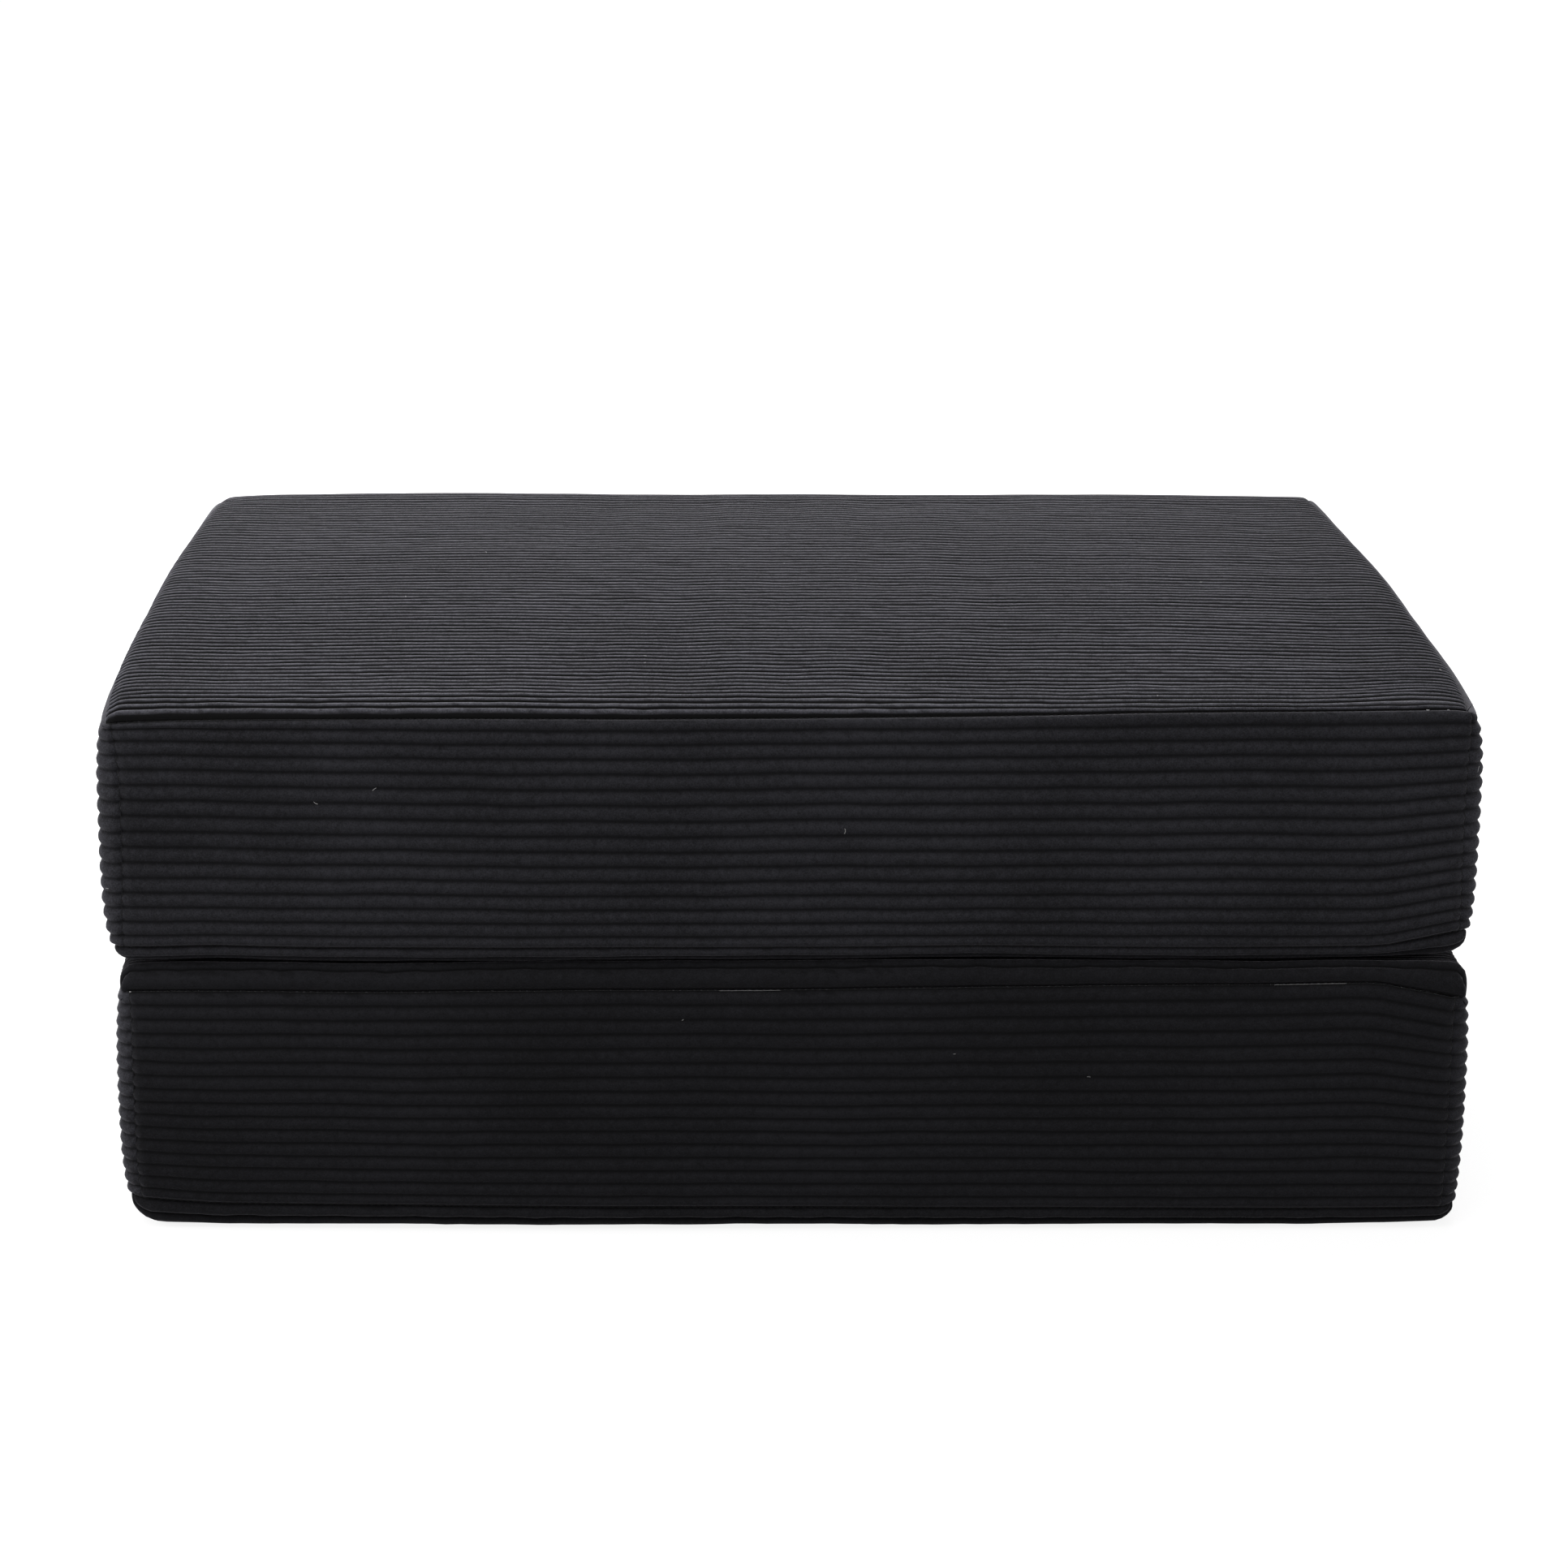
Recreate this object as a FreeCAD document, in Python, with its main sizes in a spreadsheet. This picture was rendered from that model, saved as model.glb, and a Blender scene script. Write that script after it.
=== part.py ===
import FreeCAD, Part
import os
import re
import Sketcher

# Fold-out ottoman guest bed: two equal foam blocks in corduroy covers, stacked as an ottoman.
# Fabric flaps join the blocks along the right-hand end, so that the upper block swings up and
# over to the right and the two lie end to end as a single bed.
# Millimetres. +X to the right, +Y to the back, +Z up; the origin is on the floor, under the
# middle of the stack.

doc = FreeCAD.newDocument("ottoman_bed")

# ---------------------------------------------------------------- driving dimensions

SIZES = [
    # the two blocks
    ("block_width", 1000.0, "one block along X"),
    ("block_depth", 800.0, "one block along Y"),
    ("block_thickness", 199.7, "one block along Z"),
    ("stack_gap", 0.6, "air between the stacked blocks"),
    ("hinge_gap", 0.6, "air between the end faces of the laid-out blocks"),
    ("corner_radius", 24.0, "rounding of the upright corners"),
    ("seat_edge_radius", 10.0, "crisp edge round the ottoman's seat"),
    ("middle_edge_radius", 20.0, "soft edges where the blocks meet"),
    ("floor_edge_radius", 18.0, "edge round the floor side"),
    # where the cover's panels are sewn together
    ("seat_seam_lap", 0.3, "seat panel turned down past its own thickness"),
    ("middle_seam_drop", 14.0, "middle seams from the face between the blocks"),
    ("floor_seam_rise", 12.0, "floor seam above the floor"),
    ("corner_seam_inset", 17.0, "upright seams from the block's end"),
    # layers of a block
    ("cover_thickness", 3.0, "corduroy with its pile"),
    ("liner_thickness", 0.8, "sock over the foam"),
    ("layer_ease", 0.3, "play between the layers"),
    ("least_radius", 0.5, "smallest rounding of an inner layer"),
    # the zip in the back band
    ("zip_end_inset", 90.0, "coil's ends from the block's ends"),
    ("zip_opening", 12.0, "slot between the two back bands"),
    ("zip_play", 0.3, "running clearance of the slider"),
    ("hem_width", 10.0, "turned edge of a back band, on the tape"),
    ("hem_thickness", 2.0, "turned edge of a back band"),
    ("tape_width", 13.0, "one zip tape"),
    ("tape_thickness", 0.8, "one zip tape"),
    ("tape_tail", 34.0, "tape and slot beyond each stop"),
    ("coil_thickness", 2.2, "coil across the tape"),
    ("coil_channel", 1.6, "space between the coil rows for the slider's divider"),
    ("coil_width", 2.2, "one row of coil"),
    ("stop_length", 3.0, "end stop along the zip"),
    ("stop_thickness", 2.6, "end stop across the tape"),
    ("slider_length", 11.0, "slider along the zip"),
    ("slider_plate", 1.2, "slider's outer and inner plate"),
    ("slider_flange", 1.0, "slider's rims, outside the coil"),
    ("divider_thickness", 1.0, "slider's divider, between the coil rows"),
    ("arch_length", 7.0, "slider's arch along the zip"),
    ("arch_width", 1.6, "slider's arch across the zip"),
    ("arch_thickness", 0.9, "slider's arch"),
    ("arch_clear", 1.8, "space under the arch"),
    # the pull
    ("pull_length", 28.0, "pull from its axis to its end"),
    ("pull_width", 5.6, "pull across"),
    ("pull_thickness", 1.0, "pull"),
    ("pull_bar", 1.0, "cross bar under the arch"),
    ("pull_eye_length", 4.1, "eye of the pull"),
    ("pull_eye_width", 2.4, "eye of the pull"),
    # the fabric hinge
    ("flap_thickness", 1.2, "one hinge flap"),
    ("flap_play", 0.15, "flap from the fold line"),
    ("flap_end_inset", 120.0, "flap's ends from the front and the back"),
    # tools for cutting
    ("cut_margin", 10.0, "how far a cutting box stands out of what it cuts"),
]

sheet = doc.addObject("Spreadsheet::Sheet", "sizes")
for row, (alias, value, note) in enumerate(SIZES, start=1):
    sheet.set(f"A{row}", note)
    sheet.set(f"B{row}", str(value))
    sheet.setAlias(f"B{row}", alias)
doc.recompute()


def cells(expression):
    """The expression with each size's name pointing at its cell; every name has an underscore."""
    return re.sub(r"[a-z]+_[a-z_]+", r"sizes.\g<0>", expression)


def value_of(expression):
    return float(sheet.evalExpression(cells(expression)))


def bind(item, **expressions):
    for name, expression in expressions.items():
        item.setExpression(name, cells(expression))


def place(item, x="0", y="0", z="0"):
    for axis, expression in (("x", x), ("y", y), ("z", z)):
        item.setExpression(f"Placement.Base.{axis}", cells(expression))


# ---------------------------------------------------------------- lines that everything keeps to

HALF_WIDTH = "(block_width / 2)"
HALF_DEPTH = "(block_depth / 2)"
SEAM_X = f"({HALF_WIDTH} - corner_seam_inset)"
LOWER_FLOOR = "0"
UPPER_FLOOR = "(block_thickness + stack_gap)"
FOLD_X = f"({HALF_WIDTH} + hinge_gap / 2)"
FOLD_Z = "(block_thickness + stack_gap / 2)"

SEAT_SEAM_DROP = "(cover_thickness + seat_seam_lap)"

# a hinge flap reaches from the fold line to where its inner side meets the rounded edge
FLAP_SETBACK = "(flap_play + flap_thickness - hinge_gap / 2)"
FLAP_RISE = f"sqrt(middle_edge_radius ^ 2 - (middle_edge_radius - {FLAP_SETBACK}) ^ 2)"
FLAP_DROP = f"(middle_edge_radius - {FLAP_RISE} - layer_ease)"

LINER_INSET = "(cover_thickness + layer_ease)"
LINING_INSET = f"({LINER_INSET} + liner_thickness)"
FOAM_INSET = f"({LINING_INSET} + layer_ease)"

# the zip's layers, from the outside of the back band inwards
HEM_BACK = f"({HALF_DEPTH} - cover_thickness - hem_thickness)"
TAPE_MIDDLE = f"({HEM_BACK} - tape_thickness / 2)"
SLIDER_GAP = "(coil_thickness / 2 + zip_play)"
SLIDER_REACH = f"({SLIDER_GAP} + slider_plate)"
CHANNEL_FLOOR = f"({TAPE_MIDDLE} - {SLIDER_REACH} - zip_play)"
COIL_EDGE = "(coil_channel / 2 + coil_width)"
HALF_ZIP = f"({HALF_WIDTH} - zip_end_inset)"
HALF_SLOT = f"({HALF_ZIP} + tape_tail)"
SLIDER_START = f"(slider_length / 2 + zip_play - {HALF_ZIP})"
PULL_LIFT = f"({SLIDER_REACH} + arch_clear / 2)"


# ---------------------------------------------------------------- ways of making a solid

def outline(body, plane, corners):
    """Closed sketch of straight lines on a plane of the body; two expressions place each corner."""
    sketch = body.newObject("Sketcher::SketchObject", f"{body.Name}_{len(body.Group)}")
    flat = next(item for item in body.Origin.OriginFeatures if item.Role == plane)
    sketch.AttachmentSupport = [(flat, "")]
    sketch.MapMode = "FlatFace"
    points = [FreeCAD.Vector(value_of(across), value_of(along), 0) for across, along in corners]
    count = len(points)
    for number in range(count):
        sketch.addGeometry(Part.LineSegment(points[number], points[(number + 1) % count]), False)
    for number in range(count):
        sketch.addConstraint(Sketcher.Constraint("Coincident", number, 2, (number + 1) % count, 1))
    for number, (across, along) in enumerate(corners):
        for kind, expression in (("DistanceX", across), ("DistanceY", along)):
            rule = Sketcher.Constraint(kind, -1, 1, number, 1, value_of(expression))
            name = f"{kind}_{number}"
            sketch.renameConstraint(sketch.addConstraint(rule), name)
            sketch.setExpression(f"Constraints.{name}", cells(expression))
    return sketch


def rectangle(low_x, low_y, high_x, high_y):
    return [(low_x, low_y), (high_x, low_y), (high_x, high_y), (low_x, high_y)]


def pad(body, sketch, length, centred=False):
    solid = body.newObject("PartDesign::Pad", f"{body.Name}_pad")
    solid.Profile = sketch
    solid.Midplane = centred
    bind(solid, Length=length)
    doc.recompute()
    return solid


def soften(body, base, wanted, radius):
    """Fillet the edges of the body's last feature that the test picks."""
    names = [
        f"Edge{number}"
        for number, edge in enumerate(base.Shape.Edges, start=1)
        if wanted(edge.BoundBox)
    ]
    fillet = body.newObject("PartDesign::Fillet", f"{body.Name}_round")
    fillet.Base = (base, names)
    bind(fillet, Radius=radius)
    doc.recompute()
    return fillet


def box(name, low, high):
    """Box between two corners, each given as three expressions."""
    solid = doc.addObject("Part::Box", name)
    for side, start, end in zip(("Length", "Width", "Height"), low, high):
        bind(solid, **{side: f"({end}) - ({start})"})
    place(solid, *low)
    return solid


def cut(name, base, tool):
    solid = doc.addObject("Part::Cut", name)
    solid.Base = base
    solid.Tool = tool
    return solid


def common(name, base, tool):
    solid = doc.addObject("Part::Common", name)
    solid.Base = base
    solid.Tool = tool
    return solid


def fuse(name, shapes):
    solid = doc.addObject("Part::MultiFuse", name)
    solid.Shapes = shapes
    return solid


SUBPARTS = {}


def subpart(node, item):
    """The item is a finished piece of the object; its label names its file."""
    item.Label = node
    SUBPARTS[node] = item


# ---------------------------------------------------------------- a foam block and its layers

def level(height):
    """Test for edges that lie flat at one height."""
    def is_level(bounds):
        return bounds.ZMax - bounds.ZMin < 0.01 and abs(bounds.ZMin - height) < 0.01
    return is_level


def upright(bounds):
    return bounds.XMax - bounds.XMin < 0.01 and bounds.YMax - bounds.YMin < 0.01


def rounded_block(name, floor, inset, low_radius, high_radius):
    """A block with rounded edges, drawn inwards from the outside of the cover."""
    body = doc.addObject("PartDesign::Body", name)
    x = f"({HALF_WIDTH} - {inset})"
    y = f"({HALF_DEPTH} - {inset})"
    sketch = outline(body, "XY_Plane", rectangle(f"-{x}", f"-{y}", x, y))
    solid = pad(body, sketch, f"block_thickness - 2 * {inset}")
    top = solid.Shape.BoundBox.ZMax
    solid = soften(body, solid, upright, f"max(corner_radius - {inset}; 2 * least_radius)")
    for height, radius in ((0, low_radius), (top, high_radius)):
        within = f"min({radius}; 0.9 * corner_radius)"
        solid = soften(body, solid, level(height), f"max({within} - {inset}; least_radius)")
    place(body, z=f"{floor} + {inset}")
    return body


def make_cover(block, floor, outer, low_seam, high_seam):
    """Corduroy cover: the shell between two blocks, parted into panels and bands at the seams."""
    lining, zip_level = f"{block}_cover_lining", f"({floor} + block_thickness / 2)"
    out_x, out_y = f"({HALF_WIDTH} + cut_margin)", f"({HALF_DEPTH} + cut_margin)"
    low_z, high_z = f"({floor} + {low_seam})", f"({floor} + block_thickness - {high_seam})"
    under, over = f"({floor} - cut_margin)", f"({floor} + block_thickness + cut_margin)"

    inner = rounded_block(lining, floor, "cover_thickness", *EDGE_RADII[block])
    shell = cut(f"{block}_shell", outer, inner)
    regions = {
        "top_panel": ((f"-{out_x}", f"-{out_y}", high_z), (out_x, out_y, over)),
        "bottom_panel": ((f"-{out_x}", f"-{out_y}", under), (out_x, out_y, low_z)),
        "front_band": ((f"-{SEAM_X}", f"-{out_y}", low_z), (SEAM_X, "0", high_z)),
        "left_band": ((f"-{out_x}", f"-{out_y}", low_z), (f"-{SEAM_X}", out_y, high_z)),
        "right_band": ((SEAM_X, f"-{out_y}", low_z), (out_x, out_y, high_z)),
    }
    for piece, (low, high) in regions.items():
        region = box(f"{block}_{piece}_region", low, high)
        subpart(f"{block}_{piece}", common(f"{block}_{piece}", shell, region))

    # each back band ends at the zip in a turned hem, which lies on the zip's tape
    edge = "zip_opening / 2"
    slot = box(
        f"{block}_zip_slot",
        (f"-{HALF_SLOT}", "0", f"{zip_level} - {edge}"),
        (HALF_SLOT, out_y, f"{zip_level} + {edge}"),
    )
    hem_face = f"({HALF_DEPTH} - cover_thickness)"
    for half, hem, span in (
        ("upper", (edge, f"{edge} + hem_width"), (zip_level, high_z)),
        ("lower", (f"-({edge} + hem_width)", f"-{edge}"), (low_z, zip_level)),
    ):
        name = f"{block}_back_band_{half}"
        region = box(f"{name}_region", (f"-{SEAM_X}", "0", span[0]), (SEAM_X, out_y, span[1]))
        band = cut(f"{name}_flat", common(f"{name}_whole", shell, region), slot)
        turned = box(
            f"{name}_hem",
            (f"-{HALF_SLOT}", HEM_BACK, f"{zip_level} + {hem[0]}"),
            (HALF_SLOT, hem_face, f"{zip_level} + {hem[1]}"),
        )
        subpart(name, fuse(name, [band, turned]))


def make_filling(block, floor):
    """Foam core in its liner; both give way along the zip, which lies in a shallow channel."""
    zip_level = f"({floor} + block_thickness / 2)"
    half_height = f"(max(zip_opening / 2 + hem_width; {COIL_EDGE} + tape_width) + layer_ease)"

    def channel(layer, spread):
        return box(
            f"{block}_{layer}_channel",
            (f"-({HALF_SLOT} + layer_ease + {spread})", f"{CHANNEL_FLOOR} - {spread}",
             f"{zip_level} - {half_height} - {spread}"),
            (f"{HALF_SLOT} + layer_ease + {spread}", f"{HALF_DEPTH} + cut_margin",
             f"{zip_level} + {half_height} + {spread}"),
        )

    layers = {}
    for layer, inset, spread in (
        ("liner_outside", LINER_INSET, "0"),
        ("liner_inside", LINING_INSET, "liner_thickness"),
        ("foam", FOAM_INSET, "(liner_thickness + layer_ease)"),
    ):
        whole = rounded_block(f"{block}_{layer}_whole", floor, inset, *EDGE_RADII[block])
        layers[layer] = cut(f"{block}_{layer}", whole, channel(layer, spread))
    liner = cut(f"{block}_liner", layers["liner_outside"], layers["liner_inside"])
    subpart(f"{block}_foam_liner", liner)
    subpart(f"{block}_foam_core", layers["foam"])


# ---------------------------------------------------------------- the zip

def make_zip_chain(block, floor):
    """Two tapes, the two rows of coil on their edges, and a stop at each end."""
    zip_level = f"({floor} + block_thickness / 2)"

    def strip(name, half_length, thickness, near, far):
        return box(
            name,
            (f"-{half_length}", f"{TAPE_MIDDLE} - {thickness} / 2", f"{zip_level} + {near}"),
            (half_length, f"{TAPE_MIDDLE} + {thickness} / 2", f"{zip_level} + {far}"),
        )

    channel_edge, tape_edge = "coil_channel / 2", f"({COIL_EDGE} + tape_width)"
    for half, row, tape in (
        ("upper", (channel_edge, COIL_EDGE), (COIL_EDGE, tape_edge)),
        ("lower", (f"-{COIL_EDGE}", f"-{channel_edge}"), (f"-{tape_edge}", f"-{COIL_EDGE}")),
    ):
        name = f"{block}_zip_coil_{half}"
        subpart(name, strip(name, HALF_ZIP, "coil_thickness", *row))
        name = f"{block}_zip_tape_{half}"
        subpart(name, strip(name, HALF_SLOT, "tape_thickness", *tape))

    stops = []
    for end, start in (("left", f"-({HALF_ZIP} + stop_length)"), ("right", HALF_ZIP)):
        stops.append(box(
            f"{block}_zip_stop_{end}",
            (start, f"{TAPE_MIDDLE} - stop_thickness / 2", f"{zip_level} - {COIL_EDGE}"),
            (f"{start} + stop_length", f"{TAPE_MIDDLE} + stop_thickness / 2",
             f"{zip_level} + {COIL_EDGE}"),
        ))
    pair = doc.addObject("Part::Compound", f"{block}_zip_stops")
    pair.Links = stops
    subpart(pair.Name, pair)


def make_slider(block, floor):
    """Slider: two plates with rims round the coil, a divider between them and an arch on top."""
    body = doc.addObject("PartDesign::Body", f"{block}_zip_slider")
    rim_inside = f"({COIL_EDGE} + zip_play)"
    rim_outside = f"({rim_inside} + slider_flange)"
    rim_end = "(tape_thickness / 2 + zip_play)"
    divider = "divider_thickness / 2"
    quarter = [
        (SLIDER_REACH, rim_outside),
        (rim_end, rim_outside),
        (rim_end, rim_inside),
        (SLIDER_GAP, rim_inside),
        (SLIDER_GAP, divider),
    ]
    mirrored = [(f"-{out}", up) for out, up in reversed(quarter)]
    upper_half = quarter + mirrored
    section = upper_half + [(out, f"-{up}") for out, up in reversed(upper_half)]
    solid = pad(body, outline(body, "YZ_Plane", section), "slider_length", centred=True)
    solid = soften(body, solid, plate_corner, "slider_flange * 0.8")

    foot, inside = "arch_length / 2", "(arch_length / 2 - arch_thickness)"
    ceiling = f"({SLIDER_REACH} + arch_clear)"
    arch = outline(body, "XY_Plane", [
        (f"-{foot}", SLIDER_REACH),
        (f"-{inside}", SLIDER_REACH),
        (f"-{inside}", ceiling),
        (inside, ceiling),
        (inside, SLIDER_REACH),
        (foot, SLIDER_REACH),
        (foot, f"{ceiling} + arch_thickness"),
        (f"-{foot}", f"{ceiling} + arch_thickness"),
    ])
    pad(body, arch, "arch_width", centred=True)
    place(body, SLIDER_START, TAPE_MIDDLE, f"{floor} + block_thickness / 2")
    subpart(body.Name, body)


def plate_corner(bounds):
    """Edges across the slider's plates at its four corners."""
    at_end = bounds.XMax - bounds.XMin < 0.01
    across = bounds.ZMax - bounds.ZMin < 0.01 and bounds.YMax - bounds.YMin > 0.1
    outermost = value_of(f"{COIL_EDGE} + zip_play + slider_flange")
    return at_end and across and abs(abs(bounds.ZMin) - outermost) < 0.01


def make_pull(block, floor):
    """Pull: a flat tab with an eye round the slider's arch; its bar turns under the arch."""
    body = doc.addObject("PartDesign::Body", f"{block}_zip_pull")
    side, bar = "pull_width / 2", "pull_bar / 2"
    whole = outline(body, "XZ_Plane", rectangle(f"-{bar}", f"-{side}", "pull_length", side))
    solid = pad(body, whole, "pull_thickness", centred=True)
    eye_side, eye_end = "pull_eye_width / 2", f"({bar} + pull_eye_length)"
    eye = outline(body, "XZ_Plane", rectangle(bar, f"-{eye_side}", eye_end, eye_side))
    hole = body.newObject("PartDesign::Pocket", f"{body.Name}_eye")
    hole.Profile = eye
    hole.Midplane = True
    bind(hole, Length="pull_thickness * 2")
    doc.recompute()
    if hole.Shape.Volume >= solid.Shape.Volume:
        raise RuntimeError(f"{body.Name}: the eye cuts nothing")

    def on_the_bar(bounds):
        along_z = bounds.XMax - bounds.XMin < 0.01 and bounds.YMax - bounds.YMin < 0.01
        return along_z and bounds.XMax < value_of(bar) + 0.01

    def at_the_tip(bounds):
        across = bounds.XMax - bounds.XMin < 0.01 and bounds.ZMax - bounds.ZMin < 0.01
        return across and bounds.XMin > value_of("pull_length") - 0.01

    solid = soften(body, hole, on_the_bar, "0.4 * min(pull_bar; pull_thickness)")
    soften(body, solid, at_the_tip, "pull_width * 0.4")
    zip_level = f"{floor} + block_thickness / 2"
    place(body, SLIDER_START, f"{TAPE_MIDDLE} + {PULL_LIFT}", zip_level)
    subpart(body.Name, body)


# ---------------------------------------------------------------- the fabric hinge

def make_hinge_flap(block, low_z, high_z):
    """Flap sewn on at the block's middle seam; it ends just short of the fold line."""
    flap_end = f"({HALF_DEPTH} - flap_end_inset)"
    subpart(f"{block}_hinge_flap", box(
        f"{block}_hinge_flap",
        (f"{FOLD_X} - flap_play - flap_thickness", f"-{flap_end}", low_z),
        (f"{FOLD_X} - flap_play", flap_end, high_z),
    ))


# ---------------------------------------------------------------- the two blocks

EDGE_RADII = {
    "lower": ("floor_edge_radius", "middle_edge_radius"),
    "upper": ("middle_edge_radius", "seat_edge_radius"),
}
SEAMS = {
    "lower": ("floor_seam_rise", "middle_seam_drop"),
    "upper": ("middle_seam_drop", SEAT_SEAM_DROP),
}

for block, floor in (("lower", LOWER_FLOOR), ("upper", UPPER_FLOOR)):
    outside = rounded_block(f"{block}_outside", floor, "0", *EDGE_RADII[block])
    make_cover(block, floor, outside, *SEAMS[block])
    make_filling(block, floor)
    make_zip_chain(block, floor)
    make_slider(block, floor)
    make_pull(block, floor)

make_hinge_flap("lower", f"block_thickness - {FLAP_DROP}", f"{FOLD_Z} - flap_play")
make_hinge_flap("upper", f"{FOLD_Z} + flap_play", f"{UPPER_FLOOR} + {FLAP_DROP}")

doc.recompute()

# ---------------------------------------------------------------- checks and files

for item in doc.Objects:
    if "Invalid" in item.State or "Error" in item.State:
        raise RuntimeError(f"{item.Label} failed: {item.State}")
for node, item in SUBPARTS.items():
    solids = len(item.Shape.Solids)
    if item.Shape.isNull() or not item.Shape.isValid() or solids == 0:
        raise RuntimeError(f"{node} has no sound shape")
    print(f"{node}: {solids} solid(s), {item.Shape.Volume / 1000:.2f} cm3")

os.makedirs("parts", exist_ok=True)
for node, item in SUBPARTS.items():
    item.Shape.exportStep(os.path.join("parts", f"{node}.step"))
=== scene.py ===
import math
import bpy
import numpy as np
from mathutils import Matrix, Vector


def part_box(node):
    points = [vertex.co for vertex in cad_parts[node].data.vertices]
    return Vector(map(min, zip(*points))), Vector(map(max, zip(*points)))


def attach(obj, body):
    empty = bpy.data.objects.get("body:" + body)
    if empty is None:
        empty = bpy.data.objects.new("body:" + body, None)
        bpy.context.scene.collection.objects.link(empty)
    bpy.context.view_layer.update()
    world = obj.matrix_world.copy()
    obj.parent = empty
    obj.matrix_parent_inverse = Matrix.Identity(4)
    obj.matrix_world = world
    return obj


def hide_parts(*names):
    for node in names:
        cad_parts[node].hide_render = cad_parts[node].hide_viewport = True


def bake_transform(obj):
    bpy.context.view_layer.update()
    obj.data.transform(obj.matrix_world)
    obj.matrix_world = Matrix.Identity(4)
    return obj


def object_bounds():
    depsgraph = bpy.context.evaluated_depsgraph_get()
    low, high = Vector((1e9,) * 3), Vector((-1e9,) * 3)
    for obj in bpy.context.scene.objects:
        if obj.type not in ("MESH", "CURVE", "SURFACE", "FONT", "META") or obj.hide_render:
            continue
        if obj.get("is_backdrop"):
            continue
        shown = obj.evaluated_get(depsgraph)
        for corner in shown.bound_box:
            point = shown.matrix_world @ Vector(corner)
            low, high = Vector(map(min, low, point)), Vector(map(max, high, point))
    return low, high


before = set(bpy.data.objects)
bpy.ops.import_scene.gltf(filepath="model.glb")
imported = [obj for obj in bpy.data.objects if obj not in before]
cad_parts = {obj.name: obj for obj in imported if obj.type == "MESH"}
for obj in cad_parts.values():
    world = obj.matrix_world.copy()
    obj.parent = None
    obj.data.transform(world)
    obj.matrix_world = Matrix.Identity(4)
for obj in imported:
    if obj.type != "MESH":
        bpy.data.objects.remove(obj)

cad_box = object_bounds()

# ---------------------------------------------------------------- camera
# A long lens a little above the seat looks down at the front of the stack, just left of its middle.
# The image is square, so the lens and the sensor's width give both angles.
SENSOR = 36.0
LENS = 93.2
EYE = (-0.0852, -3.1809, 1.0969)
LOOK_DOWN = math.radians(15.186)
LOOK_LEFT = math.radians(-1.621)
TILT = math.radians(0.440)

camera_data = bpy.data.cameras.new("camera")
camera_data.sensor_width = SENSOR
camera_data.lens = LENS
camera_data.clip_end = 60.0
camera = bpy.data.objects.new("camera", camera_data)
bpy.context.scene.collection.objects.link(camera)
camera.matrix_world = (Matrix.Translation(EYE) @ Matrix.Rotation(LOOK_LEFT, 4, "Z")
                       @ Matrix.Rotation(math.pi / 2 - LOOK_DOWN, 4, "X") @ Matrix.Rotation(TILT, 4, "Z"))
bpy.context.scene.camera = camera
bpy.context.scene.view_settings.view_transform = "Standard"

# ---------------------------------------------------------------- studio floor and light
# A white sweep lit by large soft boxes: overhead, behind, in front and at both sides. What the
# camera and mirrors see of floor and sky is white; the floor still takes the stack's soft shadow.
FLOOR_SIZE = 30.0
FLOOR_BOUNCE = 0.35
FLOOR_SEEN = 0.30
FLOOR_GLOW = (0.86, 1.0)        # close to the stack, where its shadow falls, and far from it
GLOW_REACH = (1.2, 3.5)
SKY_LIGHT = 0.12
LAMPS = {
    # name: (place, aim, width, depth, watts)
    "overhead_box": ((-0.3, 0.9, 2.7), (0.0, 0.1, 0.4), 3.2, 2.0, 45.0),
    "back_box": ((-0.5, 2.7, 1.4), (0.0, 0.1, 0.4), 3.0, 1.4, 90.0),
    "left_box": ((-3.0, -0.9, 1.3), (-0.5, -0.1, 0.2), 1.6, 1.6, 46.0),
    "right_box": ((3.0, -0.9, 1.3), (0.5, -0.1, 0.2), 1.6, 1.6, 22.0),
    "front_box": ((-0.6, -2.2, 2.4), (0.0, -0.3, 0.4), 2.4, 1.4, 26.0),
}


def new_material(name):
    material = bpy.data.materials.new(name)
    material.use_nodes = True
    material.node_tree.nodes.clear()
    return material, material.node_tree


def add(tree, kind, links=None, **settings):
    """A node with its settings. links gives its inputs, each a value, another node's output or the
    node itself, which stands for the first of its outputs in use."""
    node = tree.nodes.new("ShaderNode" + kind)
    for name, value in settings.items():
        setattr(node, name, value)
    for key, value in (links or {}).items():
        if isinstance(value, bpy.types.Node):
            value = next(socket for socket in value.outputs if socket.enabled)
        if isinstance(value, bpy.types.NodeSocket):
            tree.links.new(value, node.inputs[key])
        else:
            node.inputs[key].default_value = value
    return node


def own_place(tree):
    return add(tree, "TexCoord").outputs["Object"]


def mapped(tree, value, start, end, low=0.0, high=1.0):
    """Goes from low to high as value goes from start to end."""
    return add(tree, "MapRange", {"Value": value, "From Min": start, "From Max": end,
                                  "To Min": low, "To Max": high})


def new_object(name, points, faces, material=None):
    mesh = bpy.data.meshes.new(name)
    mesh.from_pydata([tuple(v) for v in points], [], faces)
    mesh.polygons.foreach_set("use_smooth", [True] * len(mesh.polygons))
    if material:
        mesh.materials.append(material)
    piece = bpy.data.objects.new(name, mesh)
    bpy.context.scene.collection.objects.link(piece)
    return piece


def seen_directly(tree):
    """1 for the rays by which the camera, a mirror or glass sees a surface, and 0 for light."""
    path = add(tree, "LightPath").outputs
    either = add(tree, "Math", {0: path["Is Camera Ray"], 1: path["Is Glossy Ray"]}, operation="MAXIMUM")
    return add(tree, "Math", {0: either, 1: path["Is Transmission Ray"]}, operation="MAXIMUM")


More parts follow.
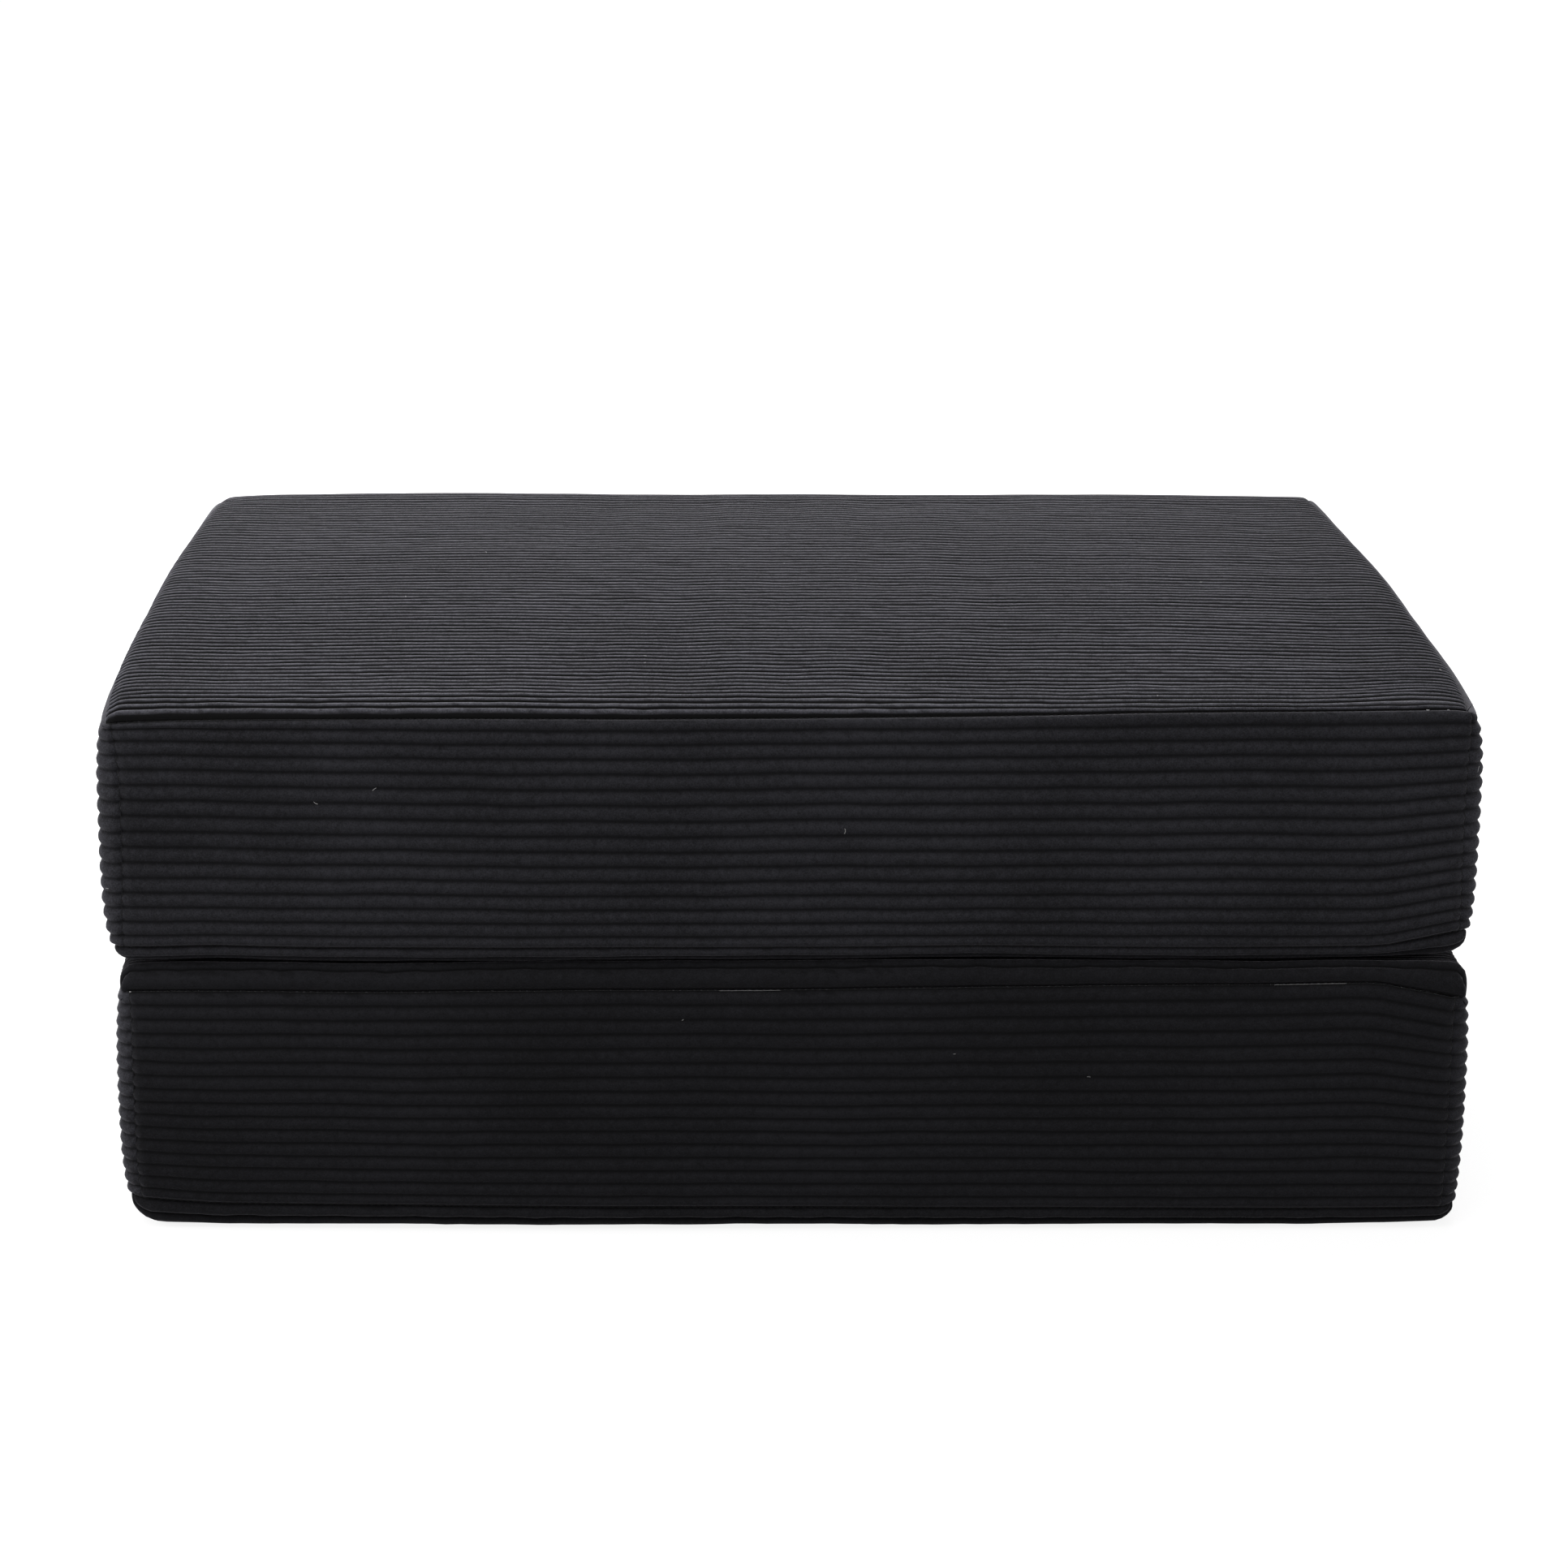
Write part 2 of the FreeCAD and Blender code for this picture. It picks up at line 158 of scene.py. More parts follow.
white_floor, tree = new_material("white_floor")
bounce, pale = (add(tree, "BsdfDiffuse", {"Color": (grey, grey, grey, 1)}) for grey in (FLOOR_BOUNCE, FLOOR_SEEN))
away = add(tree, "VectorMath", {0: own_place(tree)}, operation="LENGTH")
glow = add(tree, "Emission", {"Color": (1, 1, 1, 1), "Strength": mapped(tree, away, *GLOW_REACH, *FLOOR_GLOW)})
shown = add(tree, "AddShader", {0: pale, 1: glow})
either = add(tree, "MixShader", {0: seen_directly(tree), 1: bounce, 2: shown})
add(tree, "OutputMaterial", {"Surface": either})

half = FLOOR_SIZE / 2
corners = [(-half, -half, 0), (half, -half, 0), (half, half, 0), (-half, half, 0)]
floor = new_object("studio_floor", corners, [(0, 1, 2, 3)], white_floor)
floor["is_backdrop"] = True

world = bpy.data.worlds.new("studio")
bpy.context.scene.world = world
world.use_nodes = True
tree = world.node_tree
tree.nodes.clear()
strength = mapped(tree, seen_directly(tree), 0.0, 1.0, SKY_LIGHT, 1.0)
sky = add(tree, "Background", {"Color": (1, 1, 1, 1), "Strength": strength})
add(tree, "OutputWorld", {"Surface": sky})

for name, (place, aim, width, depth, watts) in LAMPS.items():
    lamp = bpy.data.lights.new(name, "AREA")
    lamp.shape = "RECTANGLE"
    lamp.size, lamp.size_y, lamp.energy = width, depth, watts
    holder = bpy.data.objects.new(name, lamp)
    bpy.context.scene.collection.objects.link(holder)
    back = (Vector(place) - Vector(aim)).normalized()
    side = Vector((0, 1, 0)).cross(back).normalized()
    turned = Matrix((side, back.cross(side), back)).transposed()
    holder.matrix_world = Matrix.Translation(place) @ turned.to_4x4()

# ---------------------------------------------------------------- foam cores
# Each block is one slab of foam. It gives the block its form, which every layer of the cover
# follows: flat in the middle of each face, drawn in at the corners, softer where the blocks meet.
MID_ROUND = 0.020               # plan radius half-way up the block
# Roll of each edge: its radius, and how far below or above the face its seam lies.
EDGES = {
    "upper": {"high": (0.007, 0.0006), "low": (0.0105, 0.0100)},
    "lower": {"high": (0.0105, 0.0100), "low": (0.018, 0.0168)},
}
# How far each edge's seam has slipped from there towards the middle of the side: at five places from
# left to right along the front, what share of that along the back, and on the left and right ends.
SLIP_AT = (-1, -0.88, 0, 0.88, 1)
SLIP = {
    "upper": {"high": (0.0101, 0.0085, 0.0038, -0.0008, -0.0016, 0.2, 0.003, 0.004),
              "low": (0.0018, 0.0020, 0.0, -0.0004, 0.0105, 0.3, 0.0, 0.0)},
    "lower": {"high": (0.0104, 0.0104, 0.0107, 0.0055, 0.0156, 0.3, 0.0, 0.0),
              "low": (0.0070, 0.0040, 0.0020, 0.0, 0.0, 0.2, 0.0, 0.0)},
}
LIFT = (0.0030, 0.0042, 0.0085, 0.0070, 0.0085)         # where the blocks meet, the front is pushed up
LIP = {"lower": 0.0035, "upper": 0.0}                   # by this, and by this more, so that they press
SHOULDER = {"front": (0.050, 0.0046), "others": (0.026, 0.0026)}    # the seat's edges slope off: reach, fall
FRONT_FALL = ((-1, 0, 0.4, 1), (1.0, 1.0, 0.3, 0.0))    # from left to right, the share of it at the front
SEAM_TURNS = {"upper": (3, 18, 18, 18), "lower": (18, 14, 18, 18)}  # degrees, upright seam to its side
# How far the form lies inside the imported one, for each side: all over, more at the corners at its
# front or left and at its back or right, and more again there at the upper and at the lower edge.
DRAW = {
    "lower": {"left": (0.0055, 0.006, 0.005, 0.004, 0.0125), "right": (0.001, 0.004, 0.004, 0.004, 0.002),
              "front": (0, 0.009, 0, 0.002, 0), "back": (0, 0.003, 0.003, 0.002, 0.002)},
    "upper": {"left": (0, 0.004, 0.002, 0.009, 0.010), "right": (0, 0.004, 0.002, 0.0095, 0.009),
              "front": (0, 0.007, 0.005, 0.001, 0.003), "back": (0, 0.003, 0.003, 0.002, 0.002)},
}
DRAW_WIDE, DRAW_NARROW = 2.4, 10.0      # how steeply that rises to the corners: narrow ones at the back
BELLY = {"seat": 0.0008, "middle": 0.0025, "floor": 0.0025}      # edges of a side behind its middle
CROWN = {"seat": 0.0035, "middle": 0.0015, "floor": 0.0008}      # edges of a face below its middle
FULLNESS = 2.6
SAG = {                         # and its left and right corners below its edges
    "upper": {"high": (0.0035, 0), "low": (0.0005, 0.0030)},
    "lower": {"high": (0.0015, 0.0015), "low": (0.0010, 0.0010)},
}
PUCKERS = {                     # where the front's edge between the blocks is gathered up: place, width, height
    "upper": ((-0.417, 0.030, 0.0016), (0.130, 0.060, 0.0012)),
    "lower": ((-0.300, 0.070, 0.0012), (0.340, 0.050, 0.0016)),
}
FOAM_DEPTH = 0.0100             # foam behind the cover's face
SIDE_BOW = 0.002                # how far the foam's sides stand out half-way up
RIPPLE = 0.0012


def quads(*corners):
    """Four-sided faces: each of the four arrays holds one corner's numbers."""
    return np.stack(corners, -1).reshape(-1, 4).tolist()


def cell_corners(cell, shape):
    """The eight corners round each place in a grid of cells, and the weight that each has there."""
    base = np.clip(np.floor(cell).astype(int), 0, np.array(shape[:3]) - 2)
    for corner in np.ndindex(2, 2, 2):
        weight = np.prod(np.where(corner, cell - base, 1 - cell + base), axis=-1)
        yield tuple(np.moveaxis(base + corner, -1, 0)), weight[..., None]


class Block:
    """One block's undressed form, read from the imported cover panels."""

    def __init__(self, name, high_kind, low_kind):
        self.name = name
        self.body = f"{name}_block"
        low, high = zip(*(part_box(f"{name}_{node}") for node in COVER_NODES))
        low, high = np.min(low, axis=0), np.max(high, axis=0)
        self.half_x, self.half_y, _ = (high - low) / 2
        self.floor, self.thick = low[2], high[2] - low[2]
        self.kinds = (low_kind, high_kind)
        self.rounds, self.drops = zip(EDGES[name]["low"], EDGES[name]["high"])
        self.turns = [math.acos(1 - drop / radius) for radius, drop in zip(self.rounds, self.drops)]
        self.arcs = [radius * (math.pi / 2 - turn) for radius, turn in zip(self.rounds, self.turns)]
        self.girth = self.thick + sum(self.arcs) - sum(self.rounds)       # from seam to seam, up the side
        self.phase = {"lower": 0.0, "upper": 2.1}[name]
        self.give, self.give_corner = None, None        # set once the cover's swelling is simulated

    def slip(self, edge, ux, uy):
        """How far an edge's seam has slipped; ux and uy run from -1 to 1 across the block."""
        values = SLIP[self.name][edge]
        at_end = np.where(ux < 0, values[6], values[7]) * np.clip(np.abs(ux) * 5 - 4, 0, 1) * (1 - np.abs(uy) ** 8)
        return np.interp(ux, SLIP_AT, values[:5]) * (1 + (values[5] - 1) * np.clip((uy + 1) / 2, 0, 1)) + at_end

    def band(self, core_x, core_y, turn, rise):
        """Points of the upright sides. core_x and core_y (-1 to 1) place the centre of the corner
        rounding, turn is the direction that the side faces, and rise is measured up the side."""
        low_slip, high_slip = self.slip("low", core_x, core_y), self.slip("high", core_x, core_y)
        rise = low_slip + rise * (1 - (low_slip + high_slip) / self.girth)
        gone = (rise, self.girth - rise)
        bent = [self.turns[up] + np.minimum(gone[up], self.arcs[up]) / self.rounds[up] for up in (0, 1)]
        rolled = [gone[up] < self.arcs[up] for up in (0, 1)]
        fall, inset = ([self.rounds[up] * (1 - way(bent[up])) for up in (0, 1)] for way in (np.cos, np.sin))
        z = np.select(rolled, (fall[0], self.thick - fall[1]), self.rounds[0] + rise - self.arcs[0])
        inset = np.select(rolled, inset, 0.0)
        share = np.clip((z - self.drops[0]) / (self.thick - sum(self.drops)), 0, 1)
        low_edge, high_edge = (self.rounds[up] * math.sin(self.turns[up]) for up in (0, 1))
        edge = low_edge * (1 - share) + high_edge * share
        near_edge = np.abs(2 * share - 1) ** 3
        plan = edge * near_edge + MID_ROUND * (1 - near_edge)
        x = core_x * (self.half_x - inset - plan) + plan * np.cos(turn)
        y = core_y * (self.half_y - inset - plan) + plan * np.sin(turn)
        return self.settle(np.stack(np.broadcast_arrays(x, y, z), axis=-1))

    def face_reach(self, up):
        """Half the width and half the depth of the top or bottom panel, measured over its rolled edges."""
        over = self.rounds[up] * (self.turns[up] - 1)
        return self.half_x + over, self.half_y + over

    def face(self, up, p, q):
        """Points of the top or bottom panel; p and q are measured over the panel from its middle."""
        radius, turn = self.rounds[up], self.turns[up]
        flat_x, flat_y = self.half_x - radius, self.half_y - radius
        roll, rim = radius * turn, radius * math.sin(turn)
        over_x, over_y = np.clip((np.abs(p) - flat_x) / roll, 0, 1), np.clip((np.abs(q) - flat_y) / roll, 0, 1)
        arc = roll + self.slip("high" if up else "low", np.clip(p / (self.half_x - rim), -1, 1),
                               np.clip(q / (self.half_y - rim), -1, 1))
        round_x, round_y = over_x * np.sqrt(1 - over_y ** 2 / 2), over_y * np.sqrt(1 - over_x ** 2 / 2)
        reach = np.hypot(round_x, round_y)
        bent = np.minimum(arc * reach / radius, math.pi / 2)
        out = radius * np.sin(bent) / np.maximum(reach, 1e-9)
        x = np.sign(p) * (np.minimum(np.abs(p), flat_x) + out * round_x)
        y = np.sign(q) * (np.minimum(np.abs(q), flat_y) + out * round_y)
        drop = radius * (1 - np.cos(bent)) + np.maximum(arc * reach - radius * math.pi / 2, 0)
        z = self.thick - drop if up else drop
        return self.settle(np.stack(np.broadcast_arrays(x, y, z), axis=-1))

    def draw(self, positive, negative, toward, along, nz, power):
        """How far a pair of sides is drawn in: along is -1 to 1 between the side's corners."""
        values = np.where((toward > 0)[..., None], DRAW[self.name][positive], DRAW[self.name][negative])
        all_over, first, last, at_high, at_low = np.moveaxis(values, -1, 0)
        corner = np.where(along < 0, first, last) + np.where(nz > 0, at_high, at_low) * np.abs(nz) ** 5
        belly = np.where(nz > 0, BELLY[self.kinds[1]], BELLY[self.kinds[0]])
        return all_over + corner * np.abs(along) ** power + belly * np.abs(nz) ** 2.4

    def settle(self, at):
        """Draws the corners in, crowns the faces and lets the form wander a little, all inward."""
        x, y, z = np.moveaxis(at, -1, 0)
        nx, ny, nz = x / self.half_x, y / self.half_y, 2 * z / self.thick - 1
        between = nz if self.name == "lower" else -nz       # towards the other block
        low, high = self.kinds
        sags = np.where((nz > 0)[..., None], SAG[self.name]["high"], SAG[self.name]["low"])
        in_z = np.where(nx < 0, sags[..., 0], sags[..., 1]) * (nx * ny) ** 10
        dome = (1 - np.abs(nx) ** FULLNESS) * (1 - np.abs(ny) ** FULLNESS)
        in_z = in_z + np.where(nz > 0, CROWN[high], CROWN[low]) * (1 - dome)
        for place, width, height in PUCKERS[self.name]:
            in_z = in_z + (between > 0) * height * np.exp(-((x - place) / width) ** 2) * np.clip(-ny, 0, 1) ** 12
        if high == "seat":
            end, back, front = (fall * np.clip(1 - from_edge / reach, 0, 1) ** 2 for from_edge, (reach, fall) in (
                (self.half_x - np.abs(x), SHOULDER["others"]), (self.half_y - y, SHOULDER["others"]),
                (self.half_y + y, SHOULDER["front"])))
            in_z = in_z + np.hypot(end, back + front * np.interp(nx, *FRONT_FALL)) * (nz > 0)
        k = self.phase
        ripple = np.stack([np.sin(17 * y + 1.3 + k) * np.sin(21 * z + 2.0 + k),
                           np.sin(13 * x + 0.4 + k) * np.sin(19 * z + 0.7 - k),
                           0.5 * np.sin(23 * x + 2.2 + k) + 0.5 * np.sin(15 * y - 9 * x + k)], axis=-1)
        inward = np.stack([self.draw("right", "left", nx, ny, nz, DRAW_WIDE),
                           self.draw("back", "front", ny, nx, nz, np.where(ny > 0, DRAW_NARROW, DRAW_WIDE)), in_z],
                          axis=-1)
        inward = (inward + RIPPLE / 2 * (1 + ripple)) * np.abs(np.stack([nx, ny, nz], axis=-1)) ** (6, 6, 4)
        outward = np.sign(np.stack([x, y, nz], axis=-1))
        if self.give is not None:
            inward = np.maximum(inward - outward * self.swelling(at), 0)
        lift = (np.interp(nx, SLIP_AT, LIFT) + LIP[self.name]) * np.clip(-ny, 0, 1) ** 10
        settled = at - outward * inward
        settled[..., 2] += self.floor + lift * np.clip(between, 0, 1) ** 1.5
        return settled

    def swelling(self, at):
        """How far the simulated cover has moved at these places."""
        cell = (at + (0, 0, self.floor) - self.give_corner) / GIVE_CELL
        return sum(weight * self.give[place] for place, weight in cell_corners(cell, self.give.shape))


COVER_NODES = ("top_panel", "bottom_panel", "front_band", "left_band", "right_band",
               "back_band_upper", "back_band_lower")
BLOCKS = [Block("lower", "middle", "floor"), Block("upper", "seat", "middle")]


def corner_turns(block, side):
    """How far the side's cloth goes round the corners at its two ends."""
    turns = [math.radians(SEAM_TURNS[block.name][corner]) for corner in (side, (side + 1) % 4)]
    return tuple(math.pi / 2 - turn for turn in turns) if side % 2 else turns


def side_columns(block, side, along):
    """Where columns at these distances along a side stand: their core point and facing."""
    first, last = corner_turns(block, side)
    run = 2 * ((block.half_y if side % 2 else block.half_x) - MID_ROUND)
    on = along - first * MID_ROUND
    t = np.clip(on / run, 0, 1) * 2 - 1
    facing = (side - 1) * math.pi / 2 + np.clip(on / MID_ROUND, -first, 0) + np.clip((on - run) / MID_ROUND, 0, last)
    one = np.ones_like(t)
    core = [(t, -one), (one, t), (-t, one), (-one, -t)][side]
    return core[0], core[1], facing


def side_length(block, side):
    return sum(corner_turns(block, side)) * MID_ROUND + 2 * ((block.half_y if side % 2 else block.half_x) - MID_ROUND)


def undressed(block, depth, count=(56, 46, 14)):
    """A closed body that lies depth behind the block's form, for what is inside the cover: its
    points, its faces and which of the points lie on the seams."""
    across, deep, tall = count
    ends, rims, faces = [], [], []
    for up in (False, True):
        reach_x, reach_y = block.face_reach(up)
        p, q = np.meshgrid(np.linspace(-reach_x, reach_x, across + 1), np.linspace(-reach_y, reach_y, deep + 1),
                           indexing="ij")
        ends.append(block.face(up, p, q).reshape(-1, 3))
        grid = np.arange(p.size).reshape(p.shape) + up * p.size
        turn = slice(None) if up else slice(None, None, -1)
        faces += quads(*(grid[:-1, :-1], grid[1:, :-1], grid[1:, 1:], grid[:-1, 1:])[turn])
        rims.append(np.concatenate([grid[:-1, 0], grid[-1, :-1], grid[:0:-1, -1], grid[0, :0:-1]]))
    points = np.concatenate(ends)
    below, above = (points[rim] for rim in rims)
    outward = np.sign(np.round(below / (block.half_x, block.half_y, np.inf), 1))
    share = np.arange(1, tall)[:, None, None] / tall
    between = below * (1 - share) + above * share + outward * np.sin(math.pi * share) ** 0.5 * SIDE_BOW
    numbers = len(points) + np.arange((tall - 1) * len(below)).reshape(tall - 1, -1)
    rows = np.vstack([rims[0], numbers, rims[1]])
    after = np.roll(rows, -1, axis=1)
    faces += quads(rows[:-1], after[:-1], after[1:], rows[1:])
    upright = rows[:, [0, across, across + deep, 2 * across + deep]]
    seams = np.concatenate([*rims, upright.ravel()]).tolist()
    middle = np.array([0, 0, block.floor + block.thick / 2])
    shrink = 1 - depth / np.array([block.half_x, block.half_y, block.thick / 2])
    return (np.concatenate([points, between.reshape(-1, 3)]) - middle) * shrink + middle, faces, seams


def two_tone(tree, factor, dark, light):
    return add(tree, "Mix", {"Factor": factor, "A": (*dark, 1), "B": (*light, 1)}, data_type="RGBA")


def bumped(tree, height, strength, distance):
    return add(tree, "Bump", {"Height": height, "Strength": strength, "Distance": distance})


def surface(tree, links):
    add(tree, "OutputMaterial", {"Surface": add(tree, "BsdfPrincipled", links)})


foam, tree = new_material("open_cell_foam")
cells = add(tree, "TexVoronoi", {"Vector": own_place(tree), "Scale": 420.0})
surface(tree, {"Base Color": two_tone(tree, cells, (0.78, 0.75, 0.62), (0.88, 0.86, 0.78)), "Roughness": 0.95,
               "Normal": bumped(tree, cells, 0.5, 0.0006)})

for block in BLOCKS:
    points, faces, _ = undressed(block, FOAM_DEPTH)
    core = new_object(f"{block.name}_foam", points, faces, foam)
    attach(core, block.body)
    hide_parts(f"{block.name}_foam_core")

# ---------------------------------------------------------------- liners
# Each slab wears a thin sock of pale non-woven cloth, closed all round and loose on the foam, so
# that the tight cover slides on over it.
LINER_DEPTH = 0.0090
LINER_THICK = 0.0005

liner_cloth, tree = new_material("non_woven_liner")
strands = add(tree, "TexNoise", {"Vector": own_place(tree), "Scale": 900.0, "Detail": 4.0})
surface(tree, {"Base Color": two_tone(tree, strands, (0.66, 0.66, 0.66), (0.82, 0.82, 0.82)), "Roughness": 0.9,
               "Normal": bumped(tree, strands, 0.4, 0.0003)})

for block in BLOCKS:
    points, faces, _ = undressed(block, LINER_DEPTH)
    sock = new_object(f"{block.name}_liner", points, faces, liner_cloth)
    skin = sock.modifiers.new("thickness", "SOLIDIFY")
    skin.thickness = LINER_THICK
    skin.offset = -1
    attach(sock, block.body)
    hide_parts(f"{block.name}_foam_liner")

# ---------------------------------------------------------------- corduroy covers
# Seven panels of wide-wale corduroy to a block, sewn with plain seams: top, bottom, front, two
# ends that wrap round the corners, and a back band in two halves with the zip between them. The
# wales run along the block and round its ends. Each panel is a closed sheet with its real ribs.
BAND_WALES = 16
FACE_WALES = 76
RIB = {                         # samples across one wale
    "face": (0.0, 0.05, 0.12, 0.23, 0.37, 0.52, 0.68, 0.88),
    "band": (0.0, 0.045, 0.085, 0.18, 0.33, 0.5, 0.67, 0.82, 0.915, 0.955),
}
COLUMN_STEP = {"face": 0.0112, "band": 0.014}
RIB_FOOT = 0.91                 # share of a wale that its rib covers
RIB_HIGH = {"face": (0.0039, 0.0022), "band": (0.0022, 0.0022)}     # at the first wale and at the last
RIB_SHAPE = {"face": 0.8, "band": 1.35}
# Painted shade down in each groove between the ribs: how much darker the colour is made there.
PAINTED_GROOVE_SHADE = {"face": 0.92, "band": 0.74}
# Light and shade painted into each panel's colour, as the share of light that it returns: painted
# shade on the side of a rib that comes first and a painted highlight on its crest, at the first wale
# and at the last. Whole panels are painted lighter or darker for the light that falls on them.
PAINTED_PANEL_LIGHT = {
    "upper_top": ((0.0, 6.4), (1.5, 2.9)), "upper_bottom": ((2.0, 2.0), (1.0, 1.0)),
    "lower_top": ((0.9, 1.0), (0.3, 0.8)), "lower_front": (1.25, 1.1), "upper_front": 2.25,
    "upper_left": 3.4, "lower_left": 3.4, "upper_right": 3.0, "lower_right": 1.8,
}
PAINTED_END_SHADE = {"upper_top": 0.35}  # painted shade: how much less the last eighth of a panel, along its wales, returns
PAINTED_CREST_TURN = (0.22, 0.15)         # where across a rib its first side's painted shade ends and its crest's painted highlight begins, and over what share of a wale
BACK_PILE = 0.1                 # what the cloth's inner face returns
BACKING = 0.0009
SEAM_PINCH = 0.0030             # over which a rib rounds off at a seam across it
RIB_END = 0.70                  # share of its height that the rib keeps there
SEAM_DIP, SEAM_WIDE = 0.0015, 0.0040
WALE_WANDER = 0.0013
WALE_WAVES = ((9.0, 3.0, 0.3, 0.5), (23.0, -5.0, 1.9, 0.3), (41.0, 9.0, 4.2, 0.2))  # along, across, start, share
GROOVE_WANDER = {"face": (0.00075, 260.0), "band": (0.00035, 120.0)}    # how far, and its quickest wave
RIB_UNEVEN = 0.10
PULL_DEPTH = 0.030              # across the wales, where a pull on the seam tells most
ZIP_SLOT = 0.0060
ZIP_SLOT_HALF = 0.4440
ZIP_SLOT_CLOSE = 0.008          # over which the slot runs out at its ends

SKIN_COUNT = (60, 50, 12)
SKIN_FRAMES = 20
SKIN_PRESSURE = 3.0
SKIN_SLACK = 0.004              # the cloth is cut this much larger than the foam
SKIN_HOLD = 0.3                 # grip of the foam on the cloth between the seams
SWELL_CAP = 0.0030
GIVE_CELL = 0.020

corduroy, corduroy_tree = new_material("black_corduroy")


def simulated_give(block):
    """Swells the cover over its foam as cloth held at the seams. Returns how far it moves as a
    grid of cells round the block, with the place of the grid's first corner."""
    points, faces, seams = undressed(block, 0.0, SKIN_COUNT)
    skin = new_object(f"{block.name}_skin", points, faces)
    held = skin.vertex_groups.new(name="held")
    held.add(range(len(points)), SKIN_HOLD, "REPLACE")
    held.add(seams, 1.0, "REPLACE")
    cloth = skin.modifiers.new("cover", "CLOTH")
    cloth.collision_settings.use_collision = False
    cloth.point_cache.frame_end = SKIN_FRAMES
    make = dict(quality=5, mass=0.3, tension_stiffness=15, compression_stiffness=15, shear_stiffness=5,
                bending_stiffness=10, vertex_group_mass="held", pin_stiffness=2.0, use_pressure=True,
                uniform_pressure_force=SKIN_PRESSURE, shrink_min=-SKIN_SLACK, shrink_max=-SKIN_SLACK)
    for name, value in make.items():
        setattr(cloth.settings, name, value)
    cloth.settings.effector_weights.gravity = 0.0
    for number in range(1, SKIN_FRAMES + 1):
        bpy.context.scene.frame_set(number)
    settled = skin.evaluated_get(bpy.context.evaluated_depsgraph_get()).data
    moved = np.empty(len(points) * 3)
    settled.vertices.foreach_get("co", moved)
    moved = moved.reshape(-1, 3) - points
    moved *= np.minimum(1, SWELL_CAP / np.maximum(np.linalg.norm(moved, axis=1, keepdims=True), 1e-9))
    bpy.context.scene.frame_set(1)
    bpy.data.objects.remove(skin)
    first = points.min(axis=0) - 2 * GIVE_CELL
    count = np.ceil((points.max(axis=0) - first) / GIVE_CELL).astype(int) + 3
    total, weight = np.zeros((*count, 3)), np.full((*count, 1), 1e-9)
    for place, share in cell_corners((points - first) / GIVE_CELL, total.shape):
        np.add.at(total, place, share * moved)
        np.add.at(weight, place, share)
    for axis in (0, 1, 2):
        total, weight = (grid / 2 + (np.roll(grid, 1, axis) + np.roll(grid, -1, axis)) / 4 for grid in (total, weight))
    return total / weight, first


for block in BLOCKS:
    block.give, block.give_corner = simulated_give(block)


def graded(length, coarse, fine=0.0007, growth=1.32):
    """Distances along a seam-to-seam run, close together at both ends."""
    steps, step = [0.0], fine
    while steps[-1] < length / 2 and step < coarse:
        steps.append(steps[-1] + step)
        step *= growth
    left = np.array([s for s in steps if s < length / 2])
    count = max(2, int(round((length - 2 * left[-1]) / coarse)) + 1)
    middle = np.linspace(left[-1], length - left[-1], count)
    return np.concatenate([left[:-1], middle, (length - left[:-1])[::-1]])


def drift(along, random, quickest=120.0, slowest=18.0):
    """An even wave along a rib, from -1 to 1, that is never the same twice."""
    waves = random.uniform((slowest, 0.0), (quickest, 2 * math.pi), (4, 2))
    return sum(np.sin(along * rate + start) for rate, start in waves) / 2.5


def rib_rows(kind, wales, length, low_rib, high_rib, along, random):
    """Row positions (rows by columns) over the wales, and each row's phase within its wale. low_rib
    and high_rib are the widths of the first and last wale as a share of the others, at each column."""
    pitch = length / (wales - 2 + low_rib + high_rib)
    edges = [np.zeros_like(pitch)] + [pitch * (low_rib + k) for k in range(wales - 1)] + [np.full_like(pitch, length)]
    far, quickest = GROOVE_WANDER[kind]
    for k in range(1, wales):
        edges[k] = edges[k] + far * drift(along, random, quickest)
    rows = [start + (end - start) * share for start, end in zip(edges, edges[1:]) for share in RIB[kind]]
    return np.array(rows + edges[-1:]), np.array(RIB[kind] * wales + (0.0,))


def unit(vectors):
    return vectors / np.maximum(np.linalg.norm(vectors, axis=-1, keepdims=True), 1e-30)


